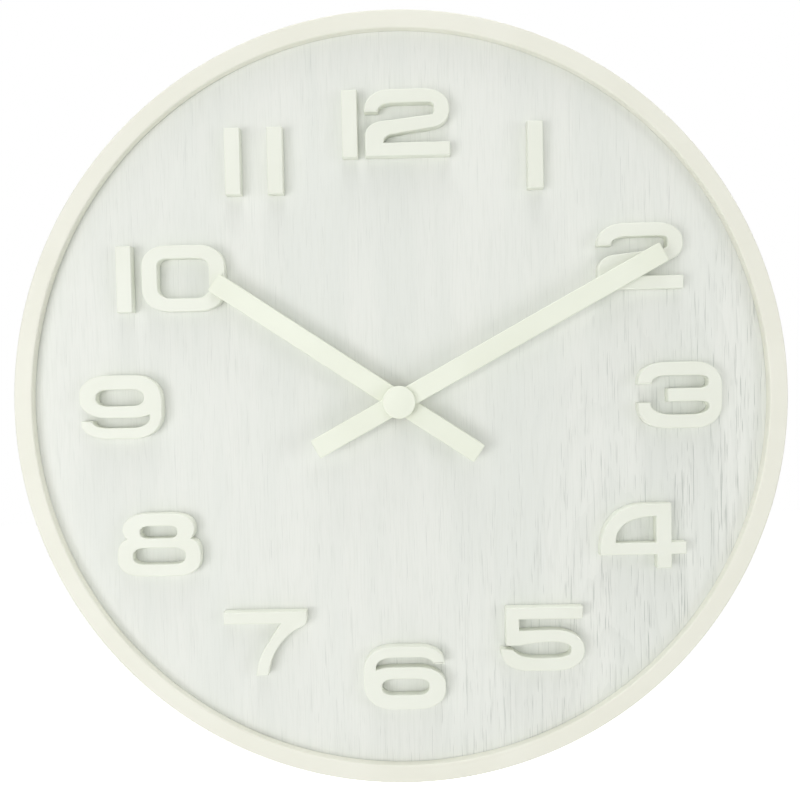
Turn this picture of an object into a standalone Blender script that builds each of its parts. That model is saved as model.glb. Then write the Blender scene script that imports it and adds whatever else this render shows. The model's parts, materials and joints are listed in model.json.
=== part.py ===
"""Large wall clock with open block numerals, built up from its separate pieces.

A deep round frame holds a veneered dial board. Fifteen raised digits stand on the board, and two
plain bar hands turn in front of them. A battery movement with its whole wheel train sits behind
the board, and the clock hangs from a steel keyhole plate behind the twelve.

All lengths are in metres. The clock is drawn lying on its back: x runs to the right of the dial,
y towards the twelve, and z from the wall towards the room, starting at the wall. One empty then
stands it upright, facing -Y, with the world's origin on the back of the hanger plate.
"""
import math

import bmesh
import bpy
from mathutils import Matrix

# Clearances and small working values
FIT_GAP = 0.0003
RUN_GAP = 0.0002
CUT_OVERRUN = 0.002
JOIN_OVERLAP = 0.0005
WELD_DISTANCE = 0.000001
MERGE_DISTANCE = 0.00001
SMOOTH_ANGLE = math.radians(32)

# Round frame
RIM_RADIUS = 0.265
RIM_DEPTH = 0.0356
RIM_FACE_WIDTH = 0.0124
RIM_WALL = 0.009
RIM_EDGE_RADIUS = 0.0012
RIM_BACK_CHAMFER = 0.0006
DIAL_RECESS = 0.007
RIM_STEPS = 96
RIM_EDGE_STEPS = 2

# Dial: a fibreboard disc with a thin veneer on it
VENEER_THICKNESS = 0.0006
BOARD_THICKNESS = 0.006

# Raised digits
CAP_HEIGHT = 0.0451
DIGIT_THICKNESS = 0.008
DIGIT_EDGE = 0.0004
NUMERALS_TO_RIM_FACE = 0.0616
TEN_INSET = 0.0128
TEN_SPACE = 0.0068
ELEVEN_SPACE = 0.0183
TWELVE_SPACE = 0.0048
TEN_DROP = 0.002
TWELVE_DROP = 0.0022
TWELVE_SHIFT = 0.0014
THREE_RISE = 0.0008
EIGHT_SHIFT = 0.0021
CORNER_FULLNESS_SHARE = 0.6
CORNER_STEPS_PER_SHARE = 8
LEAST_CORNER_STEPS = 2
MOST_CORNER_STEPS = 6

# Hands
HAND_WIDTH = 0.0137
HAND_THICKNESS = 0.003
HAND_CORNER = 0.001
HAND_EDGE = 0.0003
HAND_TAIL = 0.065
MINUTE_HAND_TO_RIM_FACE = 0.0490
HOUR_HAND_SHORTER_BY = 0.0538
HAND_OVER_DIGITS = 0.0016
HAND_OVER_HAND = 0.0015
HOUR_HAND_ANGLE = math.radians(304)
MINUTE_HAND_ANGLE = math.radians(61.5)
BUSH_NECK_WALL = 0.001
BUSH_COLLAR_WALL = 0.0018
HOUR_COLLAR_LENGTH = 0.003
MINUTE_COLLAR_LENGTH = 0.0006
BOSS_RADIUS = 0.011
BOSS_THICKNESS = 0.0035
BOSS_DOME = 0.0009
BOSS_EDGE = 0.0008

# Hanging: keyhole plate, its two screws, the wooden block behind it and three glue blocks
PLATE_WIDTH = 0.050
PLATE_HEIGHT = 0.025
PLATE_THICKNESS = 0.0012
PLATE_CORNER = 0.002
PLATE_OVER_HANG_POINT = 0.007
HANG_POINT_BELOW_RIM = 0.020
SLOT_BELOW_HANG_POINT = 0.0058
SLOT_WIDTH = 0.0046
KEYHOLE_RADIUS = 0.0045
KEYHOLE_DROP = 0.0034
SCREW_SPACING = 0.036
SCREW_ABOVE_KEYHOLE = 0.0065
SCREW_HEAD_RADIUS = 0.0035
SCREW_HEAD_HEIGHT = 0.0019
SCREW_SHANK_RADIUS = 0.00175
SCREW_LENGTH = 0.015
SCREW_POINT = 0.003
SCREW_RECESS_LENGTH = 0.004
SCREW_RECESS_WIDTH = 0.0009
SCREW_RECESS_DEPTH = 0.0009
SCREW_RECESS_TURN = math.radians(17)
SCREW_STEPS = 16
BLOCK_HALF_WIDTH = 0.040
BLOCK_HEIGHT = 0.036
POCKET_DEPTH = 0.010
POCKET_MARGIN = 0.0007
GLUE_BLOCK_HALF_WIDTH = 0.020
GLUE_BLOCK_DEPTH = 0.012
GLUE_BLOCK_REACH = 0.012
BLOCK_ARC_STEPS = 6

# Movement case
CASE_DEPTH = 0.016
CASE_FRONT_PLATE = 0.002
CASE_WALL = 0.0014
CASE_CORNER = 0.003
CASE_CORNER_STEPS = 3
GASKET_THICKNESS = 0.001
GASKET_RADIUS = 0.014
PARTITION_THICKNESS = 0.0009
REAR_WALL_SETBACK = 0.0001

# Threaded bush with its washer and nut
THREAD_BUSH_RADIUS = 0.004
THREAD_BUSH_WALL = 0.0013
THREAD_BUSH_OVER_NUT = 0.0015
WASHER_RADIUS = 0.009
WASHER_THICKNESS = 0.0008
NUT_RADIUS = 0.0069
NUT_THICKNESS = 0.003
NUT_SIDES = 6

# Hollow arbors on the hands' axis
HOUR_TUBE_RADIUS = 0.0025
HOUR_TUBE_WALL = 0.0008
MINUTE_TUBE_RADIUS = 0.0015
MINUTE_TUBE_WALL = 0.0007
SECONDS_ARBOR_RADIUS = 0.0005

# Wheel train. Level 1 is next to the front plate and level 6 next to the train plate.
WHEEL_THICKNESS = 0.001
LEVEL_PITCH = 0.0016
CANNON_EXTRA = 0.0002
PINION_OVERHANG = 0.0002
TOOTH_ROOT_SHARE = 0.54
TOOTH_TIP_SHARE = 0.20
TOOTH_ADDENDUM_SHARE = 0.85
TOOTH_DEDENDUM_SHARE = 1.3
MOTION_DISTANCE = 0.012
TRAIN_DISTANCE = 0.0108
MAGNET_AXIS_DISTANCE = 0.007
MOTION_DIRECTION = math.radians(150)
SETTING_DIRECTION = math.radians(200)
THIRD_DIRECTION = math.radians(90)
INTERMEDIATE_DIRECTION = math.radians(-10)
ROTOR_DIRECTION = math.radians(-15)
HOUR_TEETH = 40
MOTION_PINION_TEETH = 10
CANNON_TEETH = 12
MOTION_TEETH = 36
SETTING_TEETH = 12
CENTRE_TEETH = 64
THIRD_PINION_TEETH = 8
THIRD_TEETH = 60
SECONDS_PINION_TEETH = 8
SECONDS_TEETH = 40
INTERMEDIATE_PINION_TEETH = 8
INTERMEDIATE_TEETH = 48
ROTOR_PINION_TEETH = 8
ARBOR_RADIUS = 0.0005
PIVOT_DEPTH = 0.001
MOTION_POST_RADIUS = 0.0006
STOP_PEG_RADIUS = 0.0012
SETTING_ARBOR_RADIUS = 0.001
SETTING_PIVOT_RADIUS = 0.0006
KNOB_RADIUS = 0.005
KNOB_THICKNESS = 0.0028
KNOB_FLUTES = 12
KNOB_FLUTE_SHARE = 0.06
KNOB_STEPS_PER_FLUTE = 4

# Train plate and the posts that carry it
TRAIN_PLATE_THICKNESS = 0.001
TRAIN_PLATE_BEHIND = 0.0007
TRAIN_PLATE_LEFT = 0.013
TRAIN_PLATE_MARGIN = 0.0034
TRAIN_PLATE_OVER_PARTITION = 0.0005
POST_RADIUS = 0.0008
POST_PIN_RADIUS = 0.00045
POST_INSET = 0.0037
POST_RISE = 0.0021
RIGHT_POST_OFFSET = 0.012
RIGHT_POST_RISE = 0.0008
TOP_POST_OFFSET = 0.0112
TOP_POST_DROP = 0.0015

# Stepping motor: rotor, stator and coil
MAGNET_RADIUS = 0.003
STATOR_HOLE_RADIUS = 0.0035
STATOR_PAD_RADIUS = 0.005
STATOR_ARM_WIDTH = 0.0046
STATOR_EAR_WIDTH = 0.0035
STATOR_THICKNESS = 0.0008
STATOR_BEHIND_FRONT = 0.0052
STATOR_PAD_RISE = 0.0047
STATOR_PIN_RADIUS = 0.0006
STATOR_POST_RADIUS = 0.0012
STATOR_PIN_RISE = 0.0117
MAGNET_OVERHANG = 0.0002
COIL_FLANGE_RADIUS = 0.0035
COIL_FLANGE_THICKNESS = 0.0008
COIL_BARREL_RADIUS = 0.0023
COIL_BORE_RADIUS = 0.0018
COIL_WINDING_RADIUS = 0.0032
COIL_LENGTH = 0.0166
CORE_WIDTH = 0.003
CORE_THICKNESS = 0.0008
EAR_MARGIN = 0.0009

# Circuit board
BOARD_TOP_MARGIN = 0.0004
CIRCUIT_HEIGHT = 0.011
CIRCUIT_SIDE_MARGIN = 0.0009
CIRCUIT_THICKNESS = 0.001
CIRCUIT_POST_OFFSET = 0.010
CIRCUIT_POST_RISE = 0.0083
CIRCUIT_POST_RADIUS = 0.0012
CIRCUIT_PIN_RADIUS = 0.0006
CHIP_RADIUS = 0.003
CHIP_HEIGHT = 0.0013
CHIP_RISE = 0.0048
CRYSTAL_RADIUS = 0.0009
CRYSTAL_LENGTH = 0.006
CRYSTAL_OFFSET = 0.010

# Battery and its contacts
BATTERY_RADIUS = 0.0071
BATTERY_LENGTH = 0.0504
BATTERY_NUB_RADIUS = 0.00275
BATTERY_NUB_LENGTH = 0.0011
BATTERY_EDGE = 0.0006
BATTERY_BEHIND_PLATE = 0.0004
CONTACT_THICKNESS = 0.0003
CONTACT_LEAF_DEPTH = 0.0013
CONTACT_PLATE_HALF_HEIGHT = 0.0058
CONTACT_PLATE_HALF_DEPTH = 0.0042
CONTACT_LEAD_WIDTH = 0.002
CONTACT_LEAD_BEHIND = 0.0022
CONTACT_SLOT = 0.0010

# Facets of the smaller round pieces
HOLE_STEPS = 8
TUBE_STEPS = 16
DISC_STEPS = 28
BATTERY_STEPS = 20

# Digit outlines: each row holds a corner's x and y, and how far before and after it the edge
# bends, all as shares of the cap height. The first loop is the outside, the others are openings.
DIGIT_SHARES = {
    "0": (
        (
            (-0.633, 0.5, 0.32, 0.4),
            (0.633, 0.5, 0.42, 0.34),
            (0.633, -0.5, 0.34, 0.42),
            (-0.633, -0.5, 0.42, 0.34),
        ),
        (
            (-0.392, 0.3, 0.11, 0.15),
            (0.392, 0.3, 0.2, 0.16),
            (0.392, -0.3, 0.16, 0.2),
            (-0.392, -0.3, 0.2, 0.16),
        ),
    ),
    "1": (
        (
            (-0.118, 0.5, 0, 0),
            (0.118, 0.5, 0, 0),
            (0.118, -0.5, 0, 0),
            (-0.118, -0.5, 0, 0),
        ),
    ),
    "2": (
        (
            (-0.64, 0.165, 0, 0),
            (-0.64, 0.5, 0.31, 0.41),
            (0.637, 0.5, 0.42, 0.295),
            (0.637, -0.045, 0.225, 0.255),
            (-0.355, -0.19, 0.135, 0.09),
            (-0.355, -0.295, 0, 0),
            (0.64, -0.295, 0, 0),
            (0.64, -0.495, 0, 0),
            (-0.637, -0.495, 0, 0),
            (-0.637, 0, 0.2, 0.24),
            (0.4, 0.113, 0.045, 0.045),
            (0.4, 0.297, 0.06, 0.09),
            (-0.44, 0.29, 0.24, 0.11),
            (-0.43, 0.165, 0, 0),
        ),
    ),
    "3": (
        (
            (-0.625, 0.17, 0, 0),
            (-0.625, 0.502, 0.307, 0.407),
            (0.64, 0.502, 0.422, 0.362),
            (0.64, -0.502, 0.362, 0.422),
            (-0.625, -0.502, 0.407, 0.347),
            (-0.625, -0.109, 0, 0),
            (-0.437, -0.109, 0, 0),
            (-0.42, -0.295, 0.16, 0.33),
            (0.445, -0.298, 0.28, 0.12),
            (0.445, -0.098, 0.08, 0.121),
            (-0.178, -0.098, 0, 0),
            (-0.178, 0.103, 0, 0),
            (0.434, 0.103, 0.121, 0.075),
            (0.434, 0.29, 0.075, 0.121),
            (-0.42, 0.295, 0.22, 0.11),
            (-0.41, 0.17, 0, 0),
        ),
    ),
    "4": (
        (
            (0.427, -0.495, 0, 0),
            (0.205, -0.495, 0, 0),
            (0.205, -0.281, 0, 0),
            (-0.655, -0.281, 0, 0),
            (-0.655, 0.495, 0.694, 0.694),
            (0.427, 0.495, 0, 0),
            (0.427, -0.098, 0, 0),
            (0.65, -0.098, 0, 0),
            (0.65, -0.281, 0, 0),
            (0.427, -0.281, 0, 0),
        ),
        (
            (0.193, -0.098, 0, 0),
            (-0.415, -0.098, 0, 0),
            (-0.415, 0.302, 0.362, 0.588),
            (0.193, 0.302, 0, 0),
        ),
    ),
    "5": (
        (
            (-0.558, 0.489, 0, 0),
            (0.615, 0.489, 0, 0),
            (0.615, 0.305, 0, 0),
            (-0.354, 0.305, 0, 0),
            (-0.354, 0.13, 0, 0),
            (0.637, 0.152, 0.54, 0.31),
            (0.637, -0.489, 0.302, 0.422),
            (-0.64, -0.489, 0.422, 0.317),
            (-0.64, -0.148, 0, 0),
            (-0.47, -0.158, 0, 0),
            (-0.3, -0.292, 0.12, 0.2),
            (0.43, -0.292, 0.26, 0.1),
            (0.43, -0.048, 0.1, 0.28),
            (-0.08, -0.048, 0.16, 0.16),
            (-0.354, -0.097, 0, 0),
            (-0.558, -0.097, 0, 0),
        ),
    ),
    "6": (
        (
            (0.614, 0.21, 0, 0),
            (0.614, 0.486, 0.256, 0.422),
            (-0.63, 0.486, 0.452, 0.392),
            (-0.63, -0.486, 0.392, 0.452),
            (0.63, -0.486, 0.422, 0.302),
            (0.63, 0.166, 0.287, 0.452),
            (-0.3, 0.166, 0.12, 0.075),
            (-0.437, 0.125, 0, 0),
            (-0.437, 0.317, 0.151, 0.271),
            (0.433, 0.317, 0.241, 0.098),
            (0.433, 0.21, 0, 0),
        ),
        (
            (-0.348, -0.015, 0.106, 0.181),
            (0.374, -0.015, 0.181, 0.106),
            (0.374, -0.265, 0.106, 0.181),
            (-0.348, -0.265, 0.181, 0.106),
        ),
    ),
    "7": (
        (
            (-0.637, 0.492, 0, 0),
            (0.637, 0.492, 0, 0),
            (0.637, 0.293, 0.05, 0.06),
            (0.15, 0.05, 0.4, 0.42),
            (0.027, -0.492, 0, 0),
            (-0.16, -0.492, 0, 0),
            (-0.112, -0.211, 0.196, 0.196),
            (0.229, 0.305, 0, 0),
            (-0.637, 0.305, 0, 0),
        ),
    ),
    "8": (
        (
            (-0.492, 0.095, 0, 0),
            (-0.552, 0.158, 0.06, 0.075),
            (-0.552, 0.483, 0.241, 0.362),
            (0.552, 0.483, 0.362, 0.241),
            (0.552, 0.158, 0.075, 0.06),
            (0.492, 0.095, 0, 0),
            (0.638, 0.023, 0.106, 0.181),
            (0.638, -0.483, 0.256, 0.377),
            (-0.638, -0.483, 0.377, 0.256),
            (-0.638, 0.023, 0.181, 0.106),
        ),
        (
            (-0.281, 0.287, 0.075, 0.121),
            (0.281, 0.287, 0.121, 0.075),
            (0.281, 0.104, 0.075, 0.121),
            (-0.281, 0.104, 0.121, 0.075),
        ),
        (
            (-0.398, -0.048, 0.106, 0.166),
            (0.398, -0.048, 0.166, 0.106),
            (0.398, -0.297, 0.106, 0.166),
            (-0.398, -0.297, 0.166, 0.106),
        ),
    ),
}

# Heights above the wall, worked out from the sizes above
RIM_FACE_INNER_RADIUS = RIM_RADIUS - RIM_FACE_WIDTH
NUMERAL_RING_RADIUS = RIM_FACE_INNER_RADIUS - NUMERALS_TO_RIM_FACE
TEN_RING_RADIUS = NUMERAL_RING_RADIUS - TEN_INSET
MINUTE_HAND_REACH = RIM_FACE_INNER_RADIUS - MINUTE_HAND_TO_RIM_FACE
HOUR_HAND_REACH = MINUTE_HAND_REACH - HOUR_HAND_SHORTER_BY
HANG_RADIUS = RIM_RADIUS - HANG_POINT_BELOW_RIM
DIAL_FRONT = RIM_DEPTH - DIAL_RECESS
BOARD_FRONT = DIAL_FRONT - VENEER_THICKNESS - FIT_GAP
BOARD_REAR = BOARD_FRONT - BOARD_THICKNESS
RIM_REBATE_RADIUS = RIM_RADIUS - RIM_WALL
BOARD_RADIUS = RIM_REBATE_RADIUS - FIT_GAP
DIGIT_REAR = DIAL_FRONT + FIT_GAP
DIGIT_FRONT = DIGIT_REAR + DIGIT_THICKNESS
HOUR_HAND_REAR = DIGIT_FRONT + HAND_OVER_DIGITS
HOUR_HAND_FRONT = HOUR_HAND_REAR + HAND_THICKNESS
MINUTE_HAND_REAR = HOUR_HAND_FRONT + HAND_OVER_HAND
MINUTE_HAND_FRONT = MINUTE_HAND_REAR + HAND_THICKNESS
BOSS_REAR = MINUTE_HAND_FRONT + FIT_GAP

CASE_FRONT = BOARD_REAR - GASKET_THICKNESS - 2 * FIT_GAP
CASE_REAR = CASE_FRONT - CASE_DEPTH
FRONT_PLATE_REAR = CASE_FRONT - CASE_FRONT_PLATE
REAR_CASE_FRONT = FRONT_PLATE_REAR - FIT_GAP
POST_ROOT = FRONT_PLATE_REAR + JOIN_OVERLAP
PIVOT_FRONT = FRONT_PLATE_REAR + PIVOT_DEPTH

# Inner length of the case: battery, its two contacts and the gaps between them
CASE_INNER_HALF = (BATTERY_LENGTH + CONTACT_LEAF_DEPTH + CONTACT_THICKNESS + 4 * FIT_GAP) / 2
CASE_HALF = CASE_INNER_HALF + CASE_WALL
BATTERY_Y = BATTERY_RADIUS + FIT_GAP - CASE_INNER_HALF
BATTERY_Z = FRONT_PLATE_REAR - BATTERY_BEHIND_PLATE - BATTERY_RADIUS
BATTERY_RIGHT = CASE_INNER_HALF - CONTACT_THICKNESS - 2 * FIT_GAP
BATTERY_LEFT = BATTERY_RIGHT - BATTERY_LENGTH
PARTITION_BOTTOM = BATTERY_Y + BATTERY_RADIUS + FIT_GAP
PARTITION_TOP = PARTITION_BOTTOM + PARTITION_THICKNESS


def level_rear(level):
    """Height of the rear face of the wheels on one level of the train."""
    return FRONT_PLATE_REAR - FIT_GAP - WHEEL_THICKNESS - (level - 1) * LEVEL_PITCH


TRAIN_PLATE_FRONT = level_rear(6) - TRAIN_PLATE_BEHIND
TRAIN_PLATE_REAR = TRAIN_PLATE_FRONT - TRAIN_PLATE_THICKNESS
ARBOR_REAR = TRAIN_PLATE_REAR - FIT_GAP
CIRCUIT_REAR = CASE_REAR + CASE_WALL + 2 * (CRYSTAL_RADIUS + FIT_GAP)
CIRCUIT_FRONT = CIRCUIT_REAR + CIRCUIT_THICKNESS
CIRCUIT_TOP = CASE_INNER_HALF - BOARD_TOP_MARGIN
CIRCUIT_BOTTOM = CIRCUIT_TOP - CIRCUIT_HEIGHT
TRAIN_PLATE_TOP = CIRCUIT_BOTTOM - FIT_GAP
TRAIN_PLATE_BOTTOM = PARTITION_TOP + TRAIN_PLATE_OVER_PARTITION
STATOR_FRONT = FRONT_PLATE_REAR - STATOR_BEHIND_FRONT
STATOR_REAR = STATOR_FRONT - STATOR_THICKNESS
CORE_REAR = STATOR_FRONT + FIT_GAP
CORE_FRONT = CORE_REAR + CORE_THICKNESS
COIL_Z = (CORE_REAR + CORE_FRONT) / 2


def polar(distance, direction, start=(0, 0)):
    """The point at a distance and direction from another point."""
    return (
        start[0] + distance * math.cos(direction),
        start[1] + distance * math.sin(direction),
    )


HAND_AXIS = (0, 0)
MOTION_AXIS = polar(MOTION_DISTANCE, MOTION_DIRECTION)
SETTING_AXIS = polar(MOTION_DISTANCE, SETTING_DIRECTION, MOTION_AXIS)
THIRD_AXIS = polar(TRAIN_DISTANCE, THIRD_DIRECTION)
INTERMEDIATE_AXIS = polar(TRAIN_DISTANCE, INTERMEDIATE_DIRECTION)
ROTOR_AXIS = polar(MAGNET_AXIS_DISTANCE, ROTOR_DIRECTION, INTERMEDIATE_AXIS)

COIL_X = CASE_INNER_HALF - FIT_GAP - COIL_FLANGE_RADIUS
STATOR_LEFT = ROTOR_AXIS[0] - STATOR_PAD_RADIUS
ARM_RIGHT = STATOR_LEFT + STATOR_ARM_WIDTH
PAD_TOP = ROTOR_AXIS[1] + STATOR_PAD_RISE
COIL_BOTTOM = PAD_TOP + FIT_GAP
COIL_TOP = COIL_BOTTOM + COIL_LENGTH
EAR_BOTTOM = COIL_TOP + FIT_GAP
EAR_TOP = EAR_BOTTOM + STATOR_EAR_WIDTH
EAR_RIGHT = COIL_X + CORE_WIDTH / 2 + EAR_MARGIN
STATOR_PIN_X = (STATOR_LEFT + ARM_RIGHT) / 2
STATOR_PINS = (
    (STATOR_PIN_X, ROTOR_AXIS[1] + STATOR_PIN_RISE),
    (STATOR_PIN_X, (EAR_BOTTOM + EAR_TOP) / 2),
)
TRAIN_POSTS = (
    (POST_INSET - TRAIN_PLATE_LEFT, TRAIN_PLATE_BOTTOM + POST_RISE),
    (RIGHT_POST_OFFSET, TRAIN_PLATE_BOTTOM + RIGHT_POST_RISE),
    (TOP_POST_OFFSET, TRAIN_PLATE_TOP - TOP_POST_DROP),
)
CIRCUIT_POSTS = (
    (-CIRCUIT_POST_OFFSET, CIRCUIT_BOTTOM + CIRCUIT_POST_RISE),
    (CIRCUIT_POST_OFFSET, CIRCUIT_BOTTOM + CIRCUIT_POST_RISE),
)

HOUR_TUBE_BORE = HOUR_TUBE_RADIUS - HOUR_TUBE_WALL
MINUTE_TUBE_BORE = MINUTE_TUBE_RADIUS - MINUTE_TUBE_WALL
THREAD_BUSH_BORE = THREAD_BUSH_RADIUS - THREAD_BUSH_WALL
DIAL_HOLE_RADIUS = THREAD_BUSH_RADIUS + FIT_GAP
WASHER_REAR = DIAL_FRONT + FIT_GAP
NUT_REAR = WASHER_REAR + WASHER_THICKNESS + FIT_GAP
THREAD_BUSH_FRONT = NUT_REAR + NUT_THICKNESS + THREAD_BUSH_OVER_NUT
PIVOT_HOLE_RADIUS = ARBOR_RADIUS + RUN_GAP

# Colours as they are seen, with roughness and metallic value
WHITE_LACQUER = ("EDEDE2", 0.55, 0.0)
CREAM_LACQUER = ("EEF1E4", 0.5, 0.0)
CREAM_HAND = ("EEF2E2", 0.45, 0.0)
WASHED_VENEER = ("E5E8E0", 0.7, 0.0)
FIBREBOARD = ("A98A63", 0.85, 0.0)
PALE_WOOD = ("CDB083", 0.75, 0.0)
ZINC_STEEL = ("B9BCBE", 0.35, 1.0)
BRASS = ("C8A653", 0.3, 1.0)
SILICON_STEEL = ("8E9194", 0.4, 1.0)
BLACK_PLASTIC = ("1C1D1F", 0.5, 0.0)
WHITE_ACETAL = ("EFEFEA", 0.45, 0.0)
GREEN_ACETAL = ("6FA58A", 0.45, 0.0)
CIRCUIT_GREEN = ("2F5B3A", 0.5, 0.0)
BLACK_EPOXY = ("151515", 0.35, 0.0)
COPPER_WIRE = ("A65A32", 0.35, 1.0)
MAGNET_GREY = ("4A4C50", 0.4, 0.6)
SOFT_RUBBER = ("232323", 0.9, 0.0)
BATTERY_WRAP = ("2C3138", 0.4, 0.2)


def linear_colour(seen):
    """Linear red, green, blue and alpha for a colour written as six hexadecimal digits."""
    channels = [int(seen[i:i + 2], 16) / 255 for i in (0, 2, 4)]
    return [c / 12.92 if c <= 0.04045 else ((c + 0.055) / 1.055) ** 2.4 for c in channels] + [1]


def make_material(name, look):
    """A material for one piece."""
    seen, roughness, metallic = look
    material = bpy.data.materials.new(name)
    material.use_nodes = True
    shader = material.node_tree.nodes["Principled BSDF"]
    shader.inputs["Base Color"].default_value = linear_colour(seen)
    shader.inputs["Roughness"].default_value = roughness
    shader.inputs["Metallic"].default_value = metallic
    material.diffuse_color = linear_colour(seen)
    return material


# Outlines


def circle(radius, steps, centre=(0, 0)):
    """A round outline."""
    return [polar(radius, 2 * math.pi * i / steps, centre) for i in range(steps)]


def arc(radius, start, end, steps, centre=(0, 0)):
    """Points along a circular arc, both ends included."""
    return [polar(radius, start + (end - start) * i / steps, centre) for i in range(steps + 1)]


def rectangle(left, right, bottom, top):
    """A square-cornered outline."""
    return [(left, bottom), (right, bottom), (right, top), (left, top)]


def rounded_rectangle(left, right, bottom, top, radius, steps):
    """A rectangle with round corners."""
    quarter = math.pi / 2
    centres = (
        (right - radius, bottom + radius),
        (right - radius, top - radius),
        (left + radius, top - radius),
        (left + radius, bottom + radius),
    )
    points = []
    for i, centre in enumerate(centres):
        points += arc(radius, (i - 1) * quarter, i * quarter, steps, centre)
    return points


def towards(start, end, distance):
    """The point at a distance from start on the way to end."""
    length = math.dist(start, end)
    return [a + (b - a) * distance / length for a, b in zip(start, end)]


def bent_corner(before, corner, after, lead_in, lead_out):
    """Points round a soft corner: a cubic curve whose handles lie on both edges."""
    if not lead_in and not lead_out:
        return [tuple(corner)]
    start = towards(corner, before, lead_in)
    end = towards(corner, after, lead_out)
    first = [a + (c - a) * CORNER_FULLNESS_SHARE for a, c in zip(start, corner)]
    second = [b + (c - b) * CORNER_FULLNESS_SHARE for b, c in zip(end, corner)]
    wanted = round((lead_in + lead_out) * CORNER_STEPS_PER_SHARE)
    steps = min(max(wanted, LEAST_CORNER_STEPS), MOST_CORNER_STEPS)
    points = []
    for i in range(steps + 1):
        t = i / steps
        weights = ((1 - t) ** 3, 3 * t * (1 - t) ** 2, 3 * t * t * (1 - t), t ** 3)
        ends = (start, first, second, end)
        points.append(tuple(sum(w * p[axis] for w, p in zip(weights, ends)) for axis in (0, 1)))
    return points


def digit_outlines(digit):
    """The loops of one digit about its own centre. The nine is the six turned round."""
    turned = digit == "9"
    loops = []
    for corners in DIGIT_SHARES["6" if turned else digit]:
        places = [corner[:2] for corner in corners]
        shares = []
        for i, (x, y, lead_in, lead_out) in enumerate(corners):
            before = places[i - 1]
            after = places[(i + 1) % len(places)]
            shares += bent_corner(before, (x, y), after, lead_in, lead_out)
        size = -CAP_HEIGHT if turned else CAP_HEIGHT
        loops.append([(x * size, y * size) for x, y in shares])
    return loops


def digit_half_width(digit):
    """Half of a digit's width."""
    outside = digit_outlines(digit)[0]
    return (max(x for x, _ in outside) - min(x for x, _ in outside)) / 2


def gear_module(distance, teeth, mate_teeth):
    """Pitch diameter per tooth that two wheels need at their centre distance."""
    return 2 * distance / (teeth + mate_teeth)


def gear_outline(teeth, module, phase):
    """A ring of straight-sided teeth, with one tooth at the phase angle."""
    pitch = 2 * math.pi / teeth
    pitch_radius = module * teeth / 2
    root = pitch_radius - TOOTH_DEDENDUM_SHARE * module
    tip = pitch_radius + TOOTH_ADDENDUM_SHARE * module
    tooth = (
        (root, -TOOTH_ROOT_SHARE / 2),
        (tip, -TOOTH_TIP_SHARE / 2),
        (tip, TOOTH_TIP_SHARE / 2),
        (root, TOOTH_ROOT_SHARE / 2),
    )
    return [
        polar(radius, phase + (i + share) * pitch)
        for i in range(teeth)
        for radius, share in tooth
    ]


def mate_phase(phase, teeth, direction, mate_teeth):
    """Phase at which a wheel's mate, seen from it in a direction, has a gap where it has a tooth."""
    half_pitch = math.pi / mate_teeth
    return direction + math.pi + half_pitch - (phase - direction) * teeth / mate_teeth


# Pieces

for old in list(bpy.data.objects):
    bpy.data.objects.remove(old, do_unlink=True)

scene = bpy.context.scene
clock = bpy.data.collections.new("wall_clock")
cutters = bpy.data.collections.new("wall_clock_cutters")
scene.collection.children.link(clock)
scene.collection.children.link(cutters)

stand = bpy.data.objects.new("dial_centre", None)
stand.location = (0, 0, -HANG_RADIUS)
stand.rotation_euler = (math.pi / 2, 0, 0)
clock.objects.link(stand)


def baked_mesh(data, name, shift=0, screw_steps=0):
    """The finished mesh of a filled curve or of a profile turned about z."""
    draft = bpy.data.objects.new(name, data)
    scene.collection.objects.link(draft)
    if screw_steps:
        screw = draft.modifiers.new("turn", "SCREW")
        screw.steps = screw_steps
        screw.render_steps = screw_steps
        screw.use_merge_vertices = True
        screw.merge_threshold = MERGE_DISTANCE
    graph = bpy.context.evaluated_depsgraph_get()
    mesh = bpy.data.meshes.new_from_object(draft.evaluated_get(graph))
    bpy.data.objects.remove(draft, do_unlink=True)
    shape = bmesh.new()
    shape.from_mesh(mesh)
    bmesh.ops.remove_doubles(shape, verts=shape.verts, dist=WELD_DISTANCE)
    shape.to_mesh(mesh)
    shape.free()
    mesh.transform(Matrix.Translation((0, 0, shift)))
    mesh.name = name
    mesh.shade_smooth()
    mesh.set_sharp_from_angle(angle=SMOOTH_ANGLE)
    return mesh


def flat_mesh(name, loops, rear, front, edge=0):
    """A flat piece between two heights, with an optional small chamfer all round."""
    curve = bpy.data.curves.new(name, "CURVE")
    curve.dimensions = "2D"
    curve.fill_mode = "BOTH"
    curve.extrude = (front - rear) / 2 - edge
    curve.bevel_depth = edge
    curve.bevel_resolution = 0
    curve.offset = -edge
    for loop in loops:
        spline = curve.splines.new("POLY")
        spline.points.add(len(loop) - 1)
        for point, (x, y) in zip(spline.points, loop):
            point.co = (x, y, 0, 1)
        spline.use_cyclic_u = True
    mesh = baked_mesh(curve, name, shift=(front + rear) / 2)
    bpy.data.curves.remove(curve)
    return mesh


def turned_mesh(name, profile, steps, hollow=False):
    """A turned piece. The profile's radii and heights run down its outer side."""
    edges = [(i, i + 1) for i in range(len(profile) - 1)]
    if hollow:
        edges.append((len(profile) - 1, 0))
    data = bpy.data.meshes.new(name)
    data.from_pydata([(radius, 0, height) for radius, height in profile], edges, [])
    mesh = baked_mesh(data, name, screw_steps=steps)
    bpy.data.meshes.remove(data)
    return mesh


def ring_profile(bore, radius, rear, front):
    """The section of a plain tube or washer."""
    return [(radius, front), (radius, rear), (bore, rear), (bore, front)]


def shaft_profile(radius, rear, front):
    """The section of a plain round bar."""
    return [(0, front), (radius, front), (radius, rear), (0, rear)]


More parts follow.
